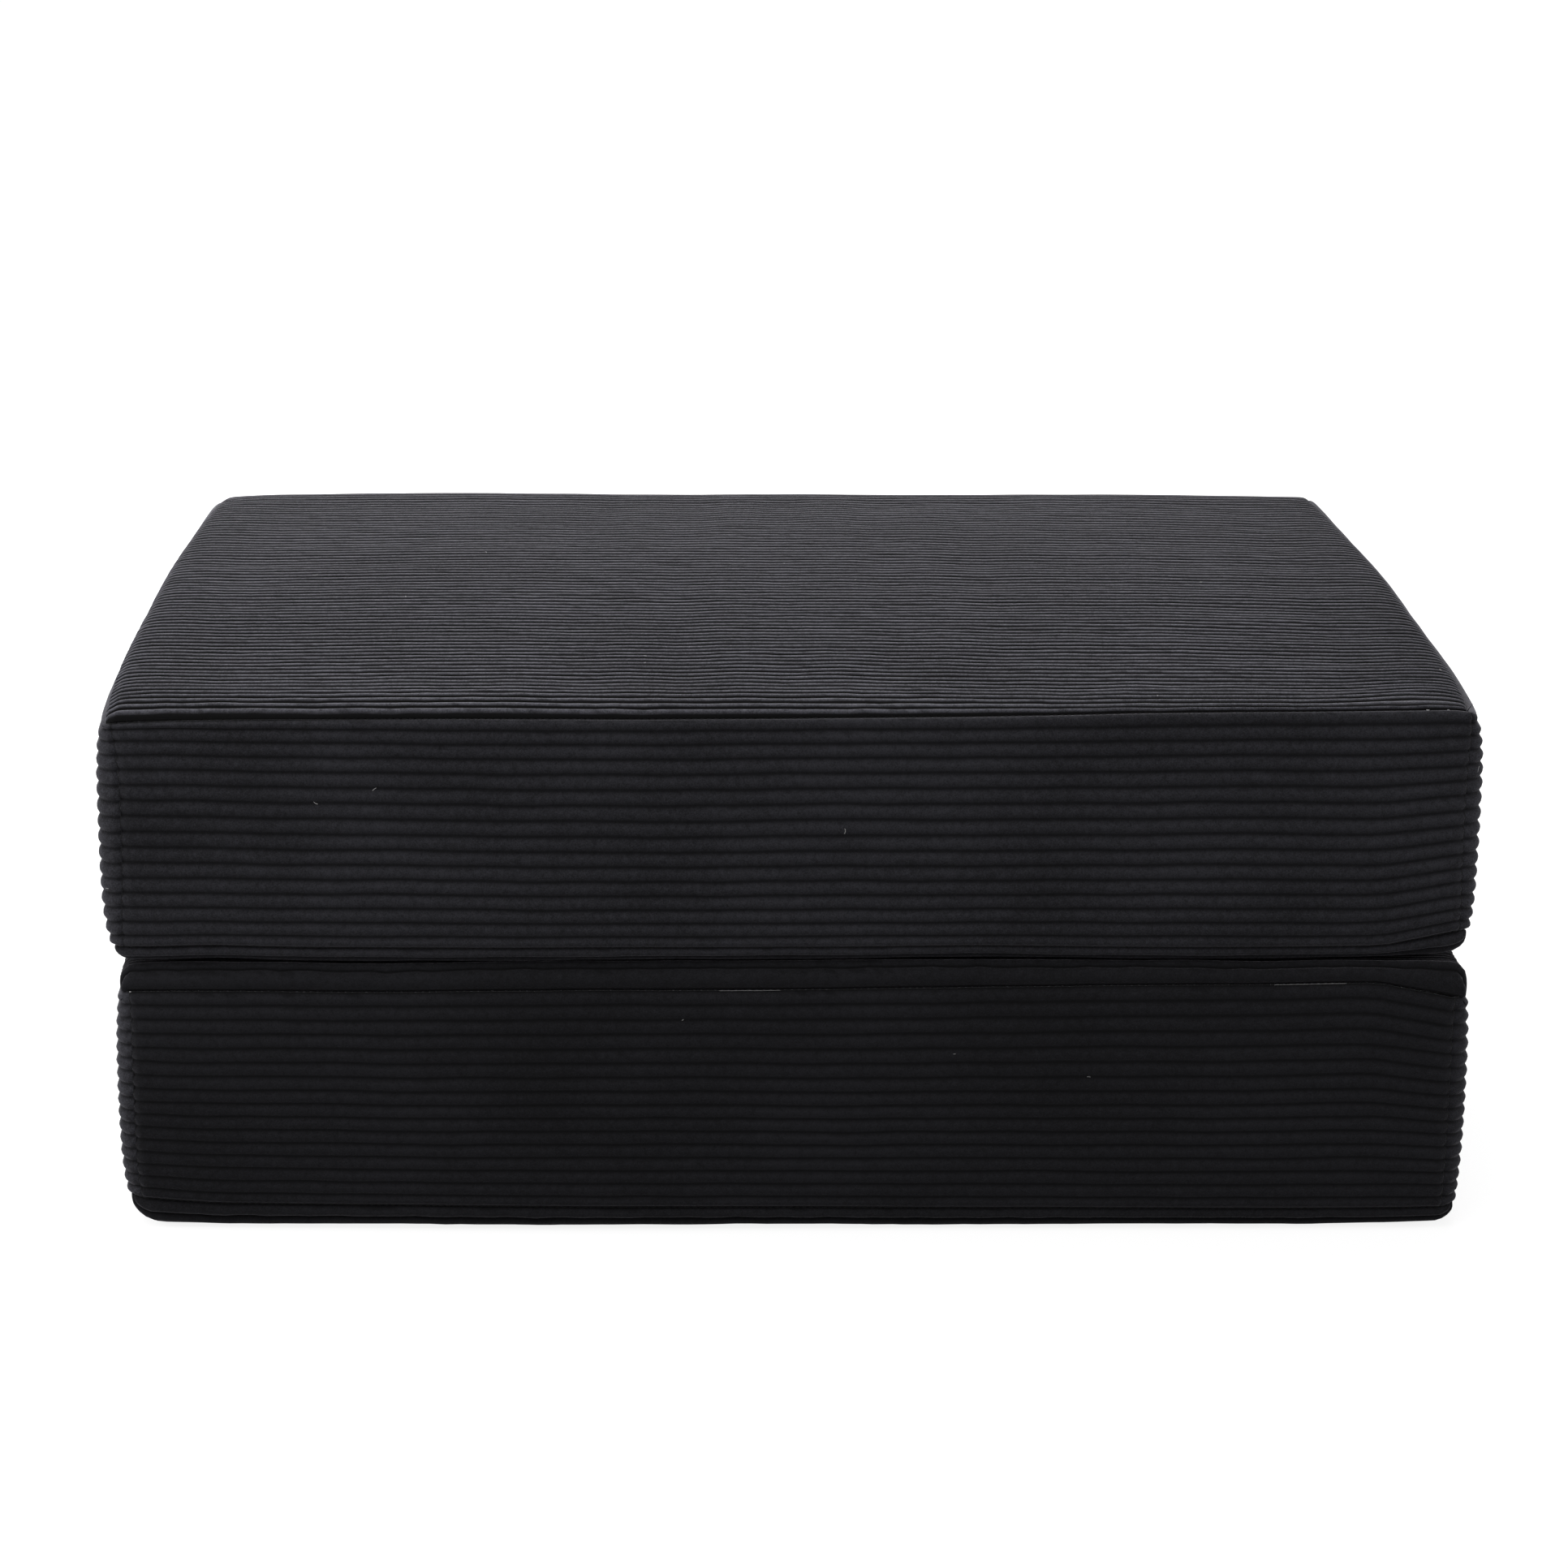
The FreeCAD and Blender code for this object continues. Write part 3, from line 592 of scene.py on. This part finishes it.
def panel(block, part, node_name, points_at, length, width, wales, seed, low_rib, high_rib, pulls=()):
    """Sews on one corduroy panel. Returns its outer points and the normals there. points_at(rise,
    along) gives the form under it; length is along the wales and width across them. Each pull
    (place, reach, shift) bends the first wales inward there."""
    kind = "face" if wales == FACE_WALES else "band"
    step = len(RIB[kind])
    along = graded(length, COLUMN_STEP[kind])
    random = np.random.default_rng(seed)
    rows, phase = rib_rows(kind, wales, width, low_rib(along), high_rib(along), along, random)
    wander = sum(np.sin(along * w + rows * v + s + seed) * g for w, v, s, g in WALE_WAVES)
    rows = rows + WALE_WANDER * wander * np.sin(np.pi * rows / width)
    for place, reach, shift in pulls:
        depth = rows / PULL_DEPTH
        rows = rows + shift * np.exp(-((along - length / 2 - place) / reach) ** 2) * depth * np.exp(1 - depth)
    base = points_at(rows, np.broadcast_to(along, rows.shape))
    normal = unit(np.cross(np.gradient(base, axis=1), np.gradient(base, axis=0)))
    if normal.mean(axis=(0, 1)) @ (base.mean(axis=(0, 1)) - (0, 0, block.floor + block.thick / 2)) < 0:
        normal = -normal

    from_end = np.minimum(along, length - along)
    from_row = np.minimum(rows, width - rows)
    first_high, last_high = RIB_HIGH[kind]
    rib_high = last_high + (first_high - last_high) * np.clip(1 - rows / width, 0, 1) ** 1.6
    finger = np.sqrt(1 - (1 - np.clip(from_end / SEAM_PINCH, 0, 1)) ** 2)
    crest = np.clip(1 - (np.abs(2 * phase - 1) / RIB_FOOT) ** 2, 0, 1) ** RIB_SHAPE[kind]
    crest = crest[:, None] * (RIB_END + (1 - RIB_END) * finger)
    uneven = np.array([drift(along, random) for _ in range(wales)] + [np.zeros_like(along)])
    crest = crest * (1 - RIB_UNEVEN * (0.5 + 0.5 * uneven[np.arange(len(phase)) // step]))
    dip = SEAM_DIP * np.maximum(np.exp(-(from_end / SEAM_WIDE) ** 2), np.exp(-(from_row / SEAM_WIDE * 1.6) ** 2))
    outer = base + normal * ((crest - 1) * rib_high - dip)[..., None]
    inner = (base - normal * (rib_high + BACKING + dip)[..., None])[::step]

    o = np.arange(outer.size // 3).reshape(outer.shape[:2])
    i = o.size + np.arange(inner.size // 3).reshape(inner.shape[:2])
    faces = quads(o[:-1, :-1], o[:-1, 1:], o[1:, 1:], o[1:, :-1])
    faces += quads(i[:-1, :-1], i[1:, :-1], i[1:, 1:], i[:-1, 1:])
    for c in range(len(along) - 1):
        faces.append([o[0, c + 1], o[0, c], i[0, c], i[0, c + 1]])
        faces.append([o[-1, c], o[-1, c + 1], i[-1, c + 1], i[-1, c]])
    for r in range(wales):
        first, last = o[r * step:(r + 1) * step + 1, [0, -1]].T
        faces.append([i[r + 1, 0], i[r, 0], *first])
        faces.append([i[r, -1], i[r + 1, -1], *last[::-1]])
    vertices = np.concatenate([outer.reshape(-1, 3), inner.reshape(-1, 3)])
    piece = new_object(f"{block.name}_{part}_cover", vertices, faces, corduroy)
    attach(piece, block.body)
    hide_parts(f"{block.name}_{node_name}")

    # Light and shade painted into the colour: painted shade on each rib's first side, a painted highlight on its
    # crest, and painted shade in the grooves and over the panel's last eighth.
    near, far = np.broadcast_to(PAINTED_PANEL_LIGHT.get(f"{block.name}_{part}", 1.0), (2, 2))
    first_side, on_crest = np.moveaxis(near + (far - near) * np.clip(rows / width, 0, 1)[..., None], -1, 0)
    rolled = np.clip((phase - PAINTED_CREST_TURN[0]) / PAINTED_CREST_TURN[1], 0, 1)[:, None]
    pile_and_painted_light = first_side + (on_crest - first_side) * rolled * rolled * (3 - 2 * rolled)
    pile_and_painted_light = pile_and_painted_light * (1 - PAINTED_GROOVE_SHADE[kind] * np.clip(1 - crest, 0, 1) ** 2.5)
    pile_and_painted_light = pile_and_painted_light * (1 - PAINTED_END_SHADE.get(f"{block.name}_{part}", 0) * np.clip(along / length * 8 - 7, 0, 1))
    pile = piece.data.attributes.new("pile", "FLOAT", "POINT")
    pile.data.foreach_set("value", np.concatenate([pile_and_painted_light.ravel(), np.full(i.size, BACK_PILE)]))
    return outer, normal


def steady(value=1.0):
    return lambda along: np.full_like(along, value)


def first_rib(block, side_name):
    """Width of the rib under the upper seam; on the seat's front it is cut narrow at the left."""
    if block.name != "upper":
        return steady(0.95)
    places, widths = {"front": ((0.0, 0.3, 1.0), (0.55, 1.05, 1.35)), "left": ((0.0, 1.0), (0.9, 0.55)),
                      "right": ((0.0, 1.0), (1.35, 0.9))}[side_name]
    return lambda along: np.interp(along / along[-1], places, widths)


def seat_rib(along):
    """Width of the seat's front rib, which the seam cuts narrower towards the right."""
    return np.interp(along / along[-1], (0.0, 0.5, 0.85, 1.0), (1.0, 0.75, 0.45, 0.45))


SEAT_PULLS = ((0.455, 0.050, 0.011), (-0.30, 0.08, -0.0015), (0.12, 0.06, 0.0015))
BLOCK_SEED = {"lower": 10, "upper": 20}
seam_lines, lint_places = {}, {"lower": [], "upper": []}
for block in BLOCKS:
    lines = seam_lines[block.name] = []
    for side, side_name in enumerate(("front", "right", "back", "left")):
        length = side_length(block, side)
        seed = side + BLOCK_SEED[block.name]

        def side_point(rise, along):
            return block.band(*side_columns(block, side, along), rise)

        if side_name != "back":
            outer, normal = panel(block, side_name, f"{side_name}_band", side_point, length, block.girth, BAND_WALES,
                                  seed, steady(0.9), first_rib(block, side_name))
            lint_places[block.name].append((outer, normal))
            lines += [(outer[0], normal[0]), (outer[-1], normal[-1])]
            if side_name == "front":
                lines += [(outer[:, 0], normal[:, 0]), (outer[:, -1], normal[:, -1])]
            continue

        zip_rise = block.arcs[0] + block.thick / 2 - block.rounds[0]
        for part, size, zip_row in (("lower", zip_rise, 0), ("upper", block.girth - zip_rise, -1)):

            def half_point(rise, along):
                from_slot_end = ZIP_SLOT_HALF + ZIP_SLOT_CLOSE / 2 - np.abs(along - length / 2)
                squeeze = 1 - ZIP_SLOT * np.clip(from_slot_end / ZIP_SLOT_CLOSE, 0, 1) / size
                return side_point(rise * squeeze if part == "lower" else block.girth - (size - rise) * squeeze, along)

            outer, normal = panel(block, f"back_{part}", f"back_band_{part}", half_point, length, size,
                                  BAND_WALES // 2, seed, steady(), steady())
            lines += [(outer[zip_row], normal[zip_row]), (outer[:, 0], normal[:, 0]), (outer[:, -1], normal[:, -1])]

    for up, face_name in ((True, "top"), (False, "bottom")):
        reach_x, reach_y = block.face_reach(up)

        def face_point(rise, along):
            return block.face(up, along - reach_x, rise - reach_y)

        seat = up and block.name == "upper"
        outer, normal = panel(block, face_name, f"{face_name}_panel", face_point, 2 * reach_x, 2 * reach_y, FACE_WALES,
                              5 + up + BLOCK_SEED[block.name], seat_rib if seat else steady(), steady(),
                              SEAT_PULLS if seat else ())
        if seat:
            lint_places["upper"] += [(outer, normal)] * 3

# Loose fibres: fine streaks that cross the surface on a slant, and coarser clumps of them.
fibres = bpy.data.node_groups.new("fibres", "ShaderNodeTree")
for label, value in (("Fineness", 900.0), ("Slant", 0.6), ("Clumps", 0.4)):
    fibres.interface.new_socket(label, in_out="INPUT", socket_type="NodeSocketFloat").default_value = value
for label in ("Mask", "Patches"):
    fibres.interface.new_socket(label, in_out="OUTPUT", socket_type="NodeSocketFloat")
given = fibres.nodes.new("NodeGroupInput").outputs
place = own_place(fibres)
turned = add(fibres, "VectorRotate", {"Vector": place, "Axis": (0.3, 0.8, 0.5), "Angle": given["Slant"]},
             rotation_type="AXIS_ANGLE")
drawn = add(fibres, "VectorMath", {0: turned, 1: (1.0, 0.42, 1.0)}, operation="MULTIPLY")
fine = add(fibres, "TexNoise", {"Vector": drawn, "Scale": given["Fineness"], "Detail": 2.5, "Roughness": 0.65})
wide = add(fibres, "Math", {0: given["Fineness"], 1: 0.23}, operation="MULTIPLY")
tufts = add(fibres, "TexNoise", {"Vector": drawn, "Scale": wide, "Detail": 2.0})
both = add(fibres, "Mix", {"Factor": given["Clumps"], "A": fine, "B": tufts})
patches = add(fibres, "TexNoise", {"Vector": place, "Scale": 8.0, "Detail": 3.0})
sent = fibres.nodes.new("NodeGroupOutput").inputs
fibres.links.new(both.outputs["Result"], sent["Mask"])
fibres.links.new(patches.outputs["Fac"], sent["Patches"])


def loose_fibres(tree, fineness, slant, clumps):
    return add(tree, "Group", {"Fineness": fineness, "Slant": slant, "Clumps": clumps}, node_tree=fibres)


PILE_DARK = (0.0058, 0.0057, 0.0066)
PILE_LIGHT = (0.0165, 0.0164, 0.0193)
BRUSH_TURN = math.radians(38)
BRUSH_STROKES = (22.0, 110.0, 22.0)     # marks where a hand has brushed the pile flat: short and slanted
BRUSH_DARK = 0.58

tree = corduroy_tree
loose = loose_fibres(tree, 1050.0, 0.7, 0.3)
patches = loose.outputs["Patches"]
spread = add(tree, "Math", {0: patches, 1: 0.35, 2: loose}, operation="MULTIPLY_ADD")
tone = two_tone(tree, mapped(tree, spread, 0.54, 0.80), PILE_DARK, PILE_LIGHT)
slanted = add(tree, "VectorRotate", {"Vector": own_place(tree), "Angle": BRUSH_TURN}, rotation_type="Z_AXIS")
strokes = add(tree, "VectorMath", {0: slanted, 1: BRUSH_STROKES}, operation="MULTIPLY")
streaks = add(tree, "TexNoise", {"Vector": strokes, "Scale": 1.0, "Detail": 1.0})
where = add(tree, "Math", {0: patches, 1: 0.55, 2: streaks}, operation="MULTIPLY_ADD")
facing_up = add(tree, "SeparateXYZ", {"Vector": add(tree, "TexCoord").outputs["Normal"]}).outputs["Z"]
marks = add(tree, "Mix", {"Factor": mapped(tree, facing_up, 0.3, 0.7), "A": 1.0,
                          "B": mapped(tree, where, 0.84, 0.96, 1.0, BRUSH_DARK)})
# The panels' painted light and shade, times the brush marks.
pile = add(tree, "Attribute", attribute_name="pile").outputs["Fac"]
pile_and_painted_light = add(tree, "Math", {0: pile, 1: marks}, operation="MULTIPLY")
shade = add(tree, "Mix", {"Factor": 1.0, "A": tone, "B": pile_and_painted_light}, data_type="RGBA", blend_type="MULTIPLY",
            clamp_result=False)
surface(tree, {"Base Color": shade, "Roughness": 0.9, "Normal": bumped(tree, loose, 0.75, 0.0009),
               "Sheen Weight": 0.27, "Sheen Roughness": 0.32, "Sheen Tint": (0.93, 0.90, 1.0, 1),
               "Specular IOR Level": 0.12})

# ---------------------------------------------------------------- seam threads
# Black polyester thread in lockstitch down every seam. The stitches lie sunk in the seam's valley
# and draw the two panels together; each is a short bar with rounded ends.
STITCH_STEP = 0.0050
STITCH_LONG = 0.0038
THREAD_THICK = 0.0007
STITCH_RISE = 0.0002            # the thread's middle above the bottom of the valley
STITCH_SINK = 0.0004            # and its ends below the middle
STITCH_RINGS = ((-1.0, 0.35), (-0.82, 1.0), (0.0, 1.12), (0.82, 1.0), (1.0, 0.35))      # place, thickness
STITCH_SIDES = 6

thread, tree = new_material("black_thread")
loose = loose_fibres(tree, 2400.0, 0.2, 0.2)
surface(tree, {"Base Color": two_tone(tree, loose, (0.002, 0.002, 0.002), (0.012, 0.012, 0.013)),
               "Roughness": 0.75, "Normal": bumped(tree, loose, 0.6, 0.0002), "Specular IOR Level": 0.2})


def read_along(places, run, values):
    """Points or normals of a line at these places; run says where along it each of them lies."""
    return np.stack([np.interp(places, run, column) for column in values.T], axis=-1)


def tube_faces(rings, sides, first=0):
    """Faces of a closed tube whose points go ring by ring, numbered from first."""
    grid = first + np.arange(rings * sides).reshape(rings, sides)
    after = np.roll(grid, -1, axis=1)
    return quads(grid[:-1], after[:-1], after[1:], grid[1:]) + [grid[0][::-1].tolist(), grid[-1].tolist()]


def seam_stitches(line, normals):
    """Bars along one seam, each in rings: line is its points, normals the way out of the cover."""
    run = np.concatenate([[0.0], np.cumsum(np.linalg.norm(np.diff(line, axis=0), axis=1))])
    count = int(run[-1] / STITCH_STEP)
    middles = (np.arange(count) + 0.5) * run[-1] / count
    half = STITCH_LONG / 2
    ahead = unit(read_along(middles + half, run, line) - read_along(middles - half, run, line))
    away = read_along(middles, run, normals)
    away = unit(away - ahead * np.sum(away * ahead, axis=1, keepdims=True))
    turn = np.arange(STITCH_SIDES)[:, None] * 2 * math.pi / STITCH_SIDES
    around = away[:, None] * np.cos(turn) + np.cross(ahead, away)[:, None] * np.sin(turn)
    place, size = np.array(STITCH_RINGS).T[..., None]
    core = read_along(middles, run, line)[:, None]
    core = core + away[:, None] * (STITCH_RISE - STITCH_SINK * place ** 2) + ahead[:, None] * place * half
    return core[:, :, None] + around[:, None] * size[..., None] * THREAD_THICK / 2


for block in BLOCKS:
    bars = np.concatenate([seam_stitches(line, normals) for line, normals in seam_lines[block.name]])
    rings = len(STITCH_RINGS)
    faces = [face for n in range(len(bars)) for face in tube_faces(rings, STITCH_SIDES, n * rings * STITCH_SIDES)]
    stitches = new_object(f"{block.name}_seam_thread", bars.reshape(-1, 3), faces, thread)
    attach(stitches, block.body)

# ---------------------------------------------------------------- fabric hinge
# One strip of the cover cloth along the right-hand end. Its lower edge is sewn into the lower
# block's upper seam and its upper edge into the upper block's lower seam; half-way between them its rows lie closer
# together.
HINGE_BEND = 0.0020             # half the height of the closer rows half-way up the strip
HINGE_TUCK, HINGE_HEM = 0.0034, 0.0062      # its long edges turn in to the seams by this, over this height
HINGE_END, HINGE_END_HEM = 0.0016, 0.0060   # and its short ends
HINGE_SLACK = 0.00012
HINGE_COLUMNS = 129

low_flap, high_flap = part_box("lower_hinge_flap"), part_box("upper_hinge_flap")
hinge_low, hinge_high = low_flap[0][2], high_flap[1][2]
fold_height = (low_flap[1][2] + high_flap[0][2]) / 2
strip_inner, strip_outer = low_flap[0][0], low_flap[1][0]
strip_half = low_flap[1][1]



def strip_section(heights, outer, inner):
    """Once round a strip of cloth: heights, places through its thickness and what is on its outside."""
    outside = np.repeat((True, False), len(heights))
    return np.concatenate([heights, heights[::-1]]), np.where(outside, outer, inner), outside


fold = np.linspace(fold_height - HINGE_BEND, fold_height + HINGE_BEND, 13)
heights = np.concatenate([np.linspace(hinge_low, fold[0], 15)[:-1], fold, np.linspace(fold[-1], hinge_high, 15)[1:]])
z, x, outside = strip_section(heights, strip_outer, strip_inner)
y = np.linspace(-strip_half, strip_half, HINGE_COLUMNS)[:, None]
to_edge = np.minimum(z - hinge_low, hinge_high - z)
tuck = HINGE_TUCK * np.maximum(0, 1 - to_edge / HINGE_HEM) ** 2
tuck = tuck + HINGE_END * np.maximum(0, 1 - (strip_half - np.abs(y)) / HINGE_END_HEM) ** 2
slack = HINGE_SLACK * (1 + np.sin(31 * y + 90 * z)) * outside
points = np.stack(np.broadcast_arrays(x - slack - tuck, y, z), axis=-1).reshape(-1, 3)

plain_back, tree = new_material("corduroy_back")
yarns = add(tree, "TexWave", {"Vector": own_place(tree), "Scale": 190.0, "Distortion": 1.2, "Detail": 1.0},
            bands_direction="Y").outputs["Fac"]
weave = add(tree, "Mix", {"Factor": 0.5, "A": loose_fibres(tree, 1500.0, 0.0, 0.3), "B": yarns})
surface(tree, {"Base Color": two_tone(tree, weave, (0.004, 0.004, 0.0045), (0.022, 0.022, 0.024)),
               "Roughness": 0.85, "Normal": bumped(tree, weave, 0.7, 0.0003), "Sheen Weight": 0.12,
               "Specular IOR Level": 0.12})

hinge_strip = new_object("hinge_strip", points, tube_faces(HINGE_COLUMNS, len(z)), plain_back)
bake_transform(hinge_strip)
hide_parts("lower_hinge_flap", "upper_hinge_flap")

# ---------------------------------------------------------------- zips
# A nylon coil zip along the middle of each back band: two woven tapes, two coils sewn to them, end
# stops, and a black lacquered slider with a hanging pull. Each coil is one wound monofilament. A
# strip of the cover cloth is sewn in behind them, so that the zip doesn't catch on the liner.
COIL_PITCH = 0.0017
COIL_WIRE = 0.00062
COIL_STEPS = 14                 # points to a turn
TUBE_SIDES = 5
FACING_FRONT = 0.3918
FACING_THICK = 0.0005
FACING_PAST = 0.008             # how far it reaches past the ends of the tapes
FACING_LESS = 0.001             # and how far its long edges lie inside theirs
FACING_SLACK = 0.0002
FACING_COLUMNS = 181

zip_tape_cloth, tree = new_material("woven_zip_tape")
warp, weft = (add(tree, "TexWave", {"Vector": own_place(tree), "Scale": scale, "Distortion": 0.4},
                  bands_direction=way).outputs["Fac"] for scale, way in ((420.0, "Z"), (300.0, "X")))
plait = add(tree, "Math", {0: warp, 1: weft}, operation="MULTIPLY")
weave = add(tree, "Mix", {"Factor": 0.3, "A": plait, "B": loose_fibres(tree, 2100.0, 0.0, 0.25)})
surface(tree, {"Base Color": two_tone(tree, weave, (0.005, 0.005, 0.0055), (0.026, 0.026, 0.028)),
               "Roughness": 0.7, "Normal": bumped(tree, weave, 0.8, 0.0002), "Sheen Weight": 0.08,
               "Specular IOR Level": 0.12})

nylon, tree = new_material("nylon_coil")
loose = loose_fibres(tree, 700.0, 0.0, 0.5)
surface(tree, {"Base Color": two_tone(tree, loose, (0.012, 0.012, 0.013), (0.028, 0.028, 0.030)),
               "Roughness": mapped(tree, loose, 0.0, 1.0, 0.42, 0.60), "Specular IOR Level": 0.25})

lacquer, tree = new_material("black_lacquered_zinc")
loose = loose_fibres(tree, 1300.0, 0.9, 0.6)
bare = mapped(tree, loose, 0.66, 0.72)
surface(tree, {"Base Color": two_tone(tree, bare, (0.012, 0.012, 0.013), (0.30, 0.29, 0.27)), "Metallic": bare,
               "Roughness": mapped(tree, loose, 0.0, 1.0, 0.22, 0.42), "Normal": bumped(tree, loose, 0.15, 0.0002),
               "Coat Weight": 0.1, "Specular IOR Level": 0.3})


def tube(line, first, thick):
    """Points of a round tube along a line, ring by ring; first is the way from it to its first edge."""
    ahead = unit(np.gradient(line, axis=0))
    first = unit(first - ahead * np.sum(first * ahead, axis=1, keepdims=True))
    turn = np.arange(TUBE_SIDES)[:, None] * 2 * math.pi / TUBE_SIDES
    around = first[:, None] * np.cos(turn) + np.cross(ahead, first)[:, None] * np.sin(turn)
    return (line[:, None] + thick / 2 * around).reshape(-1, 3)


for block in BLOCKS:
    for part, hand in (("upper", 1), ("lower", -1)):
        low, high = (np.array(corner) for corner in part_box(f"{block.name}_zip_coil_{part}"))
        _, middle_y, middle_z = (low + high) / 2
        _, reach_y, reach_z = (high - low - COIL_WIRE) / 2
        turns = (high[0] - low[0] - 2 * COIL_WIRE) / COIL_PITCH
        angle = np.linspace(0, 2 * math.pi * turns, int(turns * COIL_STEPS))
        away = np.stack([0 * angle, reach_y * np.cos(angle), hand * reach_z * np.sin(angle)], axis=-1)
        line = away + (low[0] + COIL_WIRE, middle_y, middle_z)
        line[:, 0] += COIL_PITCH * angle / (2 * math.pi)
        coil = new_object(f"{block.name}_coil_{part}", tube(line, away, COIL_WIRE), tube_faces(len(line), TUBE_SIDES),
                          nylon)
        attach(coil, block.body)
        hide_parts(f"{block.name}_zip_coil_{part}")

    (low, _), (_, high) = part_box(f"{block.name}_zip_tape_lower"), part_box(f"{block.name}_zip_tape_upper")
    x = np.linspace(low[0] - FACING_PAST, high[0] + FACING_PAST, FACING_COLUMNS)[:, None]
    middle, tall = (low[2] + high[2]) / 2, (high[2] - low[2]) / 2 - FACING_LESS
    z, y, outside = strip_section(middle + tall * np.arange(-6, 7) / 6, FACING_FRONT, FACING_FRONT - FACING_THICK)
    slack = FACING_SLACK * (1 + np.sin(70 * x + 240 * z)) * outside
    points = np.stack(np.broadcast_arrays(x, y - slack, z), axis=-1).reshape(-1, 3)
    facing = new_object(f"{block.name}_zip_facing", points, tube_faces(FACING_COLUMNS, len(z)), plain_back)
    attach(facing, block.body)

    for node_name, finish in (("zip_tape_upper", zip_tape_cloth), ("zip_tape_lower", zip_tape_cloth),
                              ("zip_stops", lacquer), ("zip_slider", lacquer), ("zip_pull", lacquer)):
        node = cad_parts[f"{block.name}_{node_name}"]
        node.data.materials.clear()
        node.data.materials.append(finish)

# ---------------------------------------------------------------- lint
# Pale fibres that the pile has caught, thin curled threads lying on the ribs, and lengths and cut
# ends of the backing's white yarn that show in the upper seams of the front.
LINT_COUNT = {"upper": 20, "lower": 10}
LINT_THICK = (0.00022, 0.00042)
LINT_LENGTH = (0.0012, 0.0050)
LINT_CURL = 160
LINT_RISE = 0.0003
# White yarn in the front's upper seams: from and to along the seam, and thickness.
YARNS = {"lower": ((-0.052, -0.008, 0.00020), (0.350, 0.402, 0.00022), (-0.4775, -0.4755, 0.0009)),
         "upper": ((0.4515, 0.4535, 0.0009), (0.4665, 0.4680, 0.0007))}
YARN_STEP = 0.0012
YARN_RISE, YARN_SWAY = 0.0007, 0.0001

lint_fibre, tree = new_material("pale_lint")
tone = two_tone(tree, loose_fibres(tree, 900.0, 0.6, 0.4), (0.25, 0.25, 0.26), (0.62, 0.61, 0.60))
surface(tree, {"Base Color": tone, "Roughness": 0.8})

for block in BLOCKS:
    random = np.random.default_rng(7 + BLOCK_SEED[block.name])
    wale = len(RIB["face"])
    strands = []                # line, way out of the cloth, thickness
    for _ in range(LINT_COUNT[block.name]):
        outer, normal = lint_places[block.name][random.choice(len(lint_places[block.name]))]
        row = random.integers(1, outer.shape[0] // wale - 1) * wale + 4
        column = random.integers(6, outer.shape[1] - 6)
        at, away = outer[row, column], normal[row, column]
        ahead = unit(outer[row, column + 1] - outer[row, column - 1])
        way, curl, long = random.uniform((0, -LINT_CURL, LINT_LENGTH[0]), (2 * math.pi, LINT_CURL, LINT_LENGTH[1]))
        run = np.linspace(-long / 2, long / 2, 8)[:, None]
        bow = curl * run ** 2 + 30 * curl * run ** 3
        line = (at + away * LINT_RISE + ahead * (run * math.cos(way) - bow * math.sin(way))
                + np.cross(away, ahead) * (run * math.sin(way) + bow * math.cos(way)))
        strands.append((line, away, random.uniform(*LINT_THICK)))
    seam, normals = seam_lines[block.name][1]
    for start, end, thick in YARNS[block.name]:
        spans = np.linspace(start, end, 2 + int((end - start) / YARN_STEP))
        away = read_along(spans, seam[:, 0], normals)
        rise = YARN_RISE + YARN_SWAY * drift(spans, random, 900.0)[:, None]
        strands.append((read_along(spans, seam[:, 0], seam) + away * rise, away, thick))
    points, faces = [], []
    for line, away, thick in strands:
        faces += tube_faces(len(line), TUBE_SIDES, len(points))
        points += [*tube(line, np.cross(unit(np.gradient(line, axis=0)), away), thick)]
    lint = new_object(f"{block.name}_lint", points, faces, lint_fibre)
    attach(lint, block.body)

# ---------------------------------------------------------------- sizes of the CAD parts and of the scene
size = {"cad": [list(map(float, corner)) for corner in cad_box],
        "visual": [list(map(float, corner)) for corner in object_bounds()]}
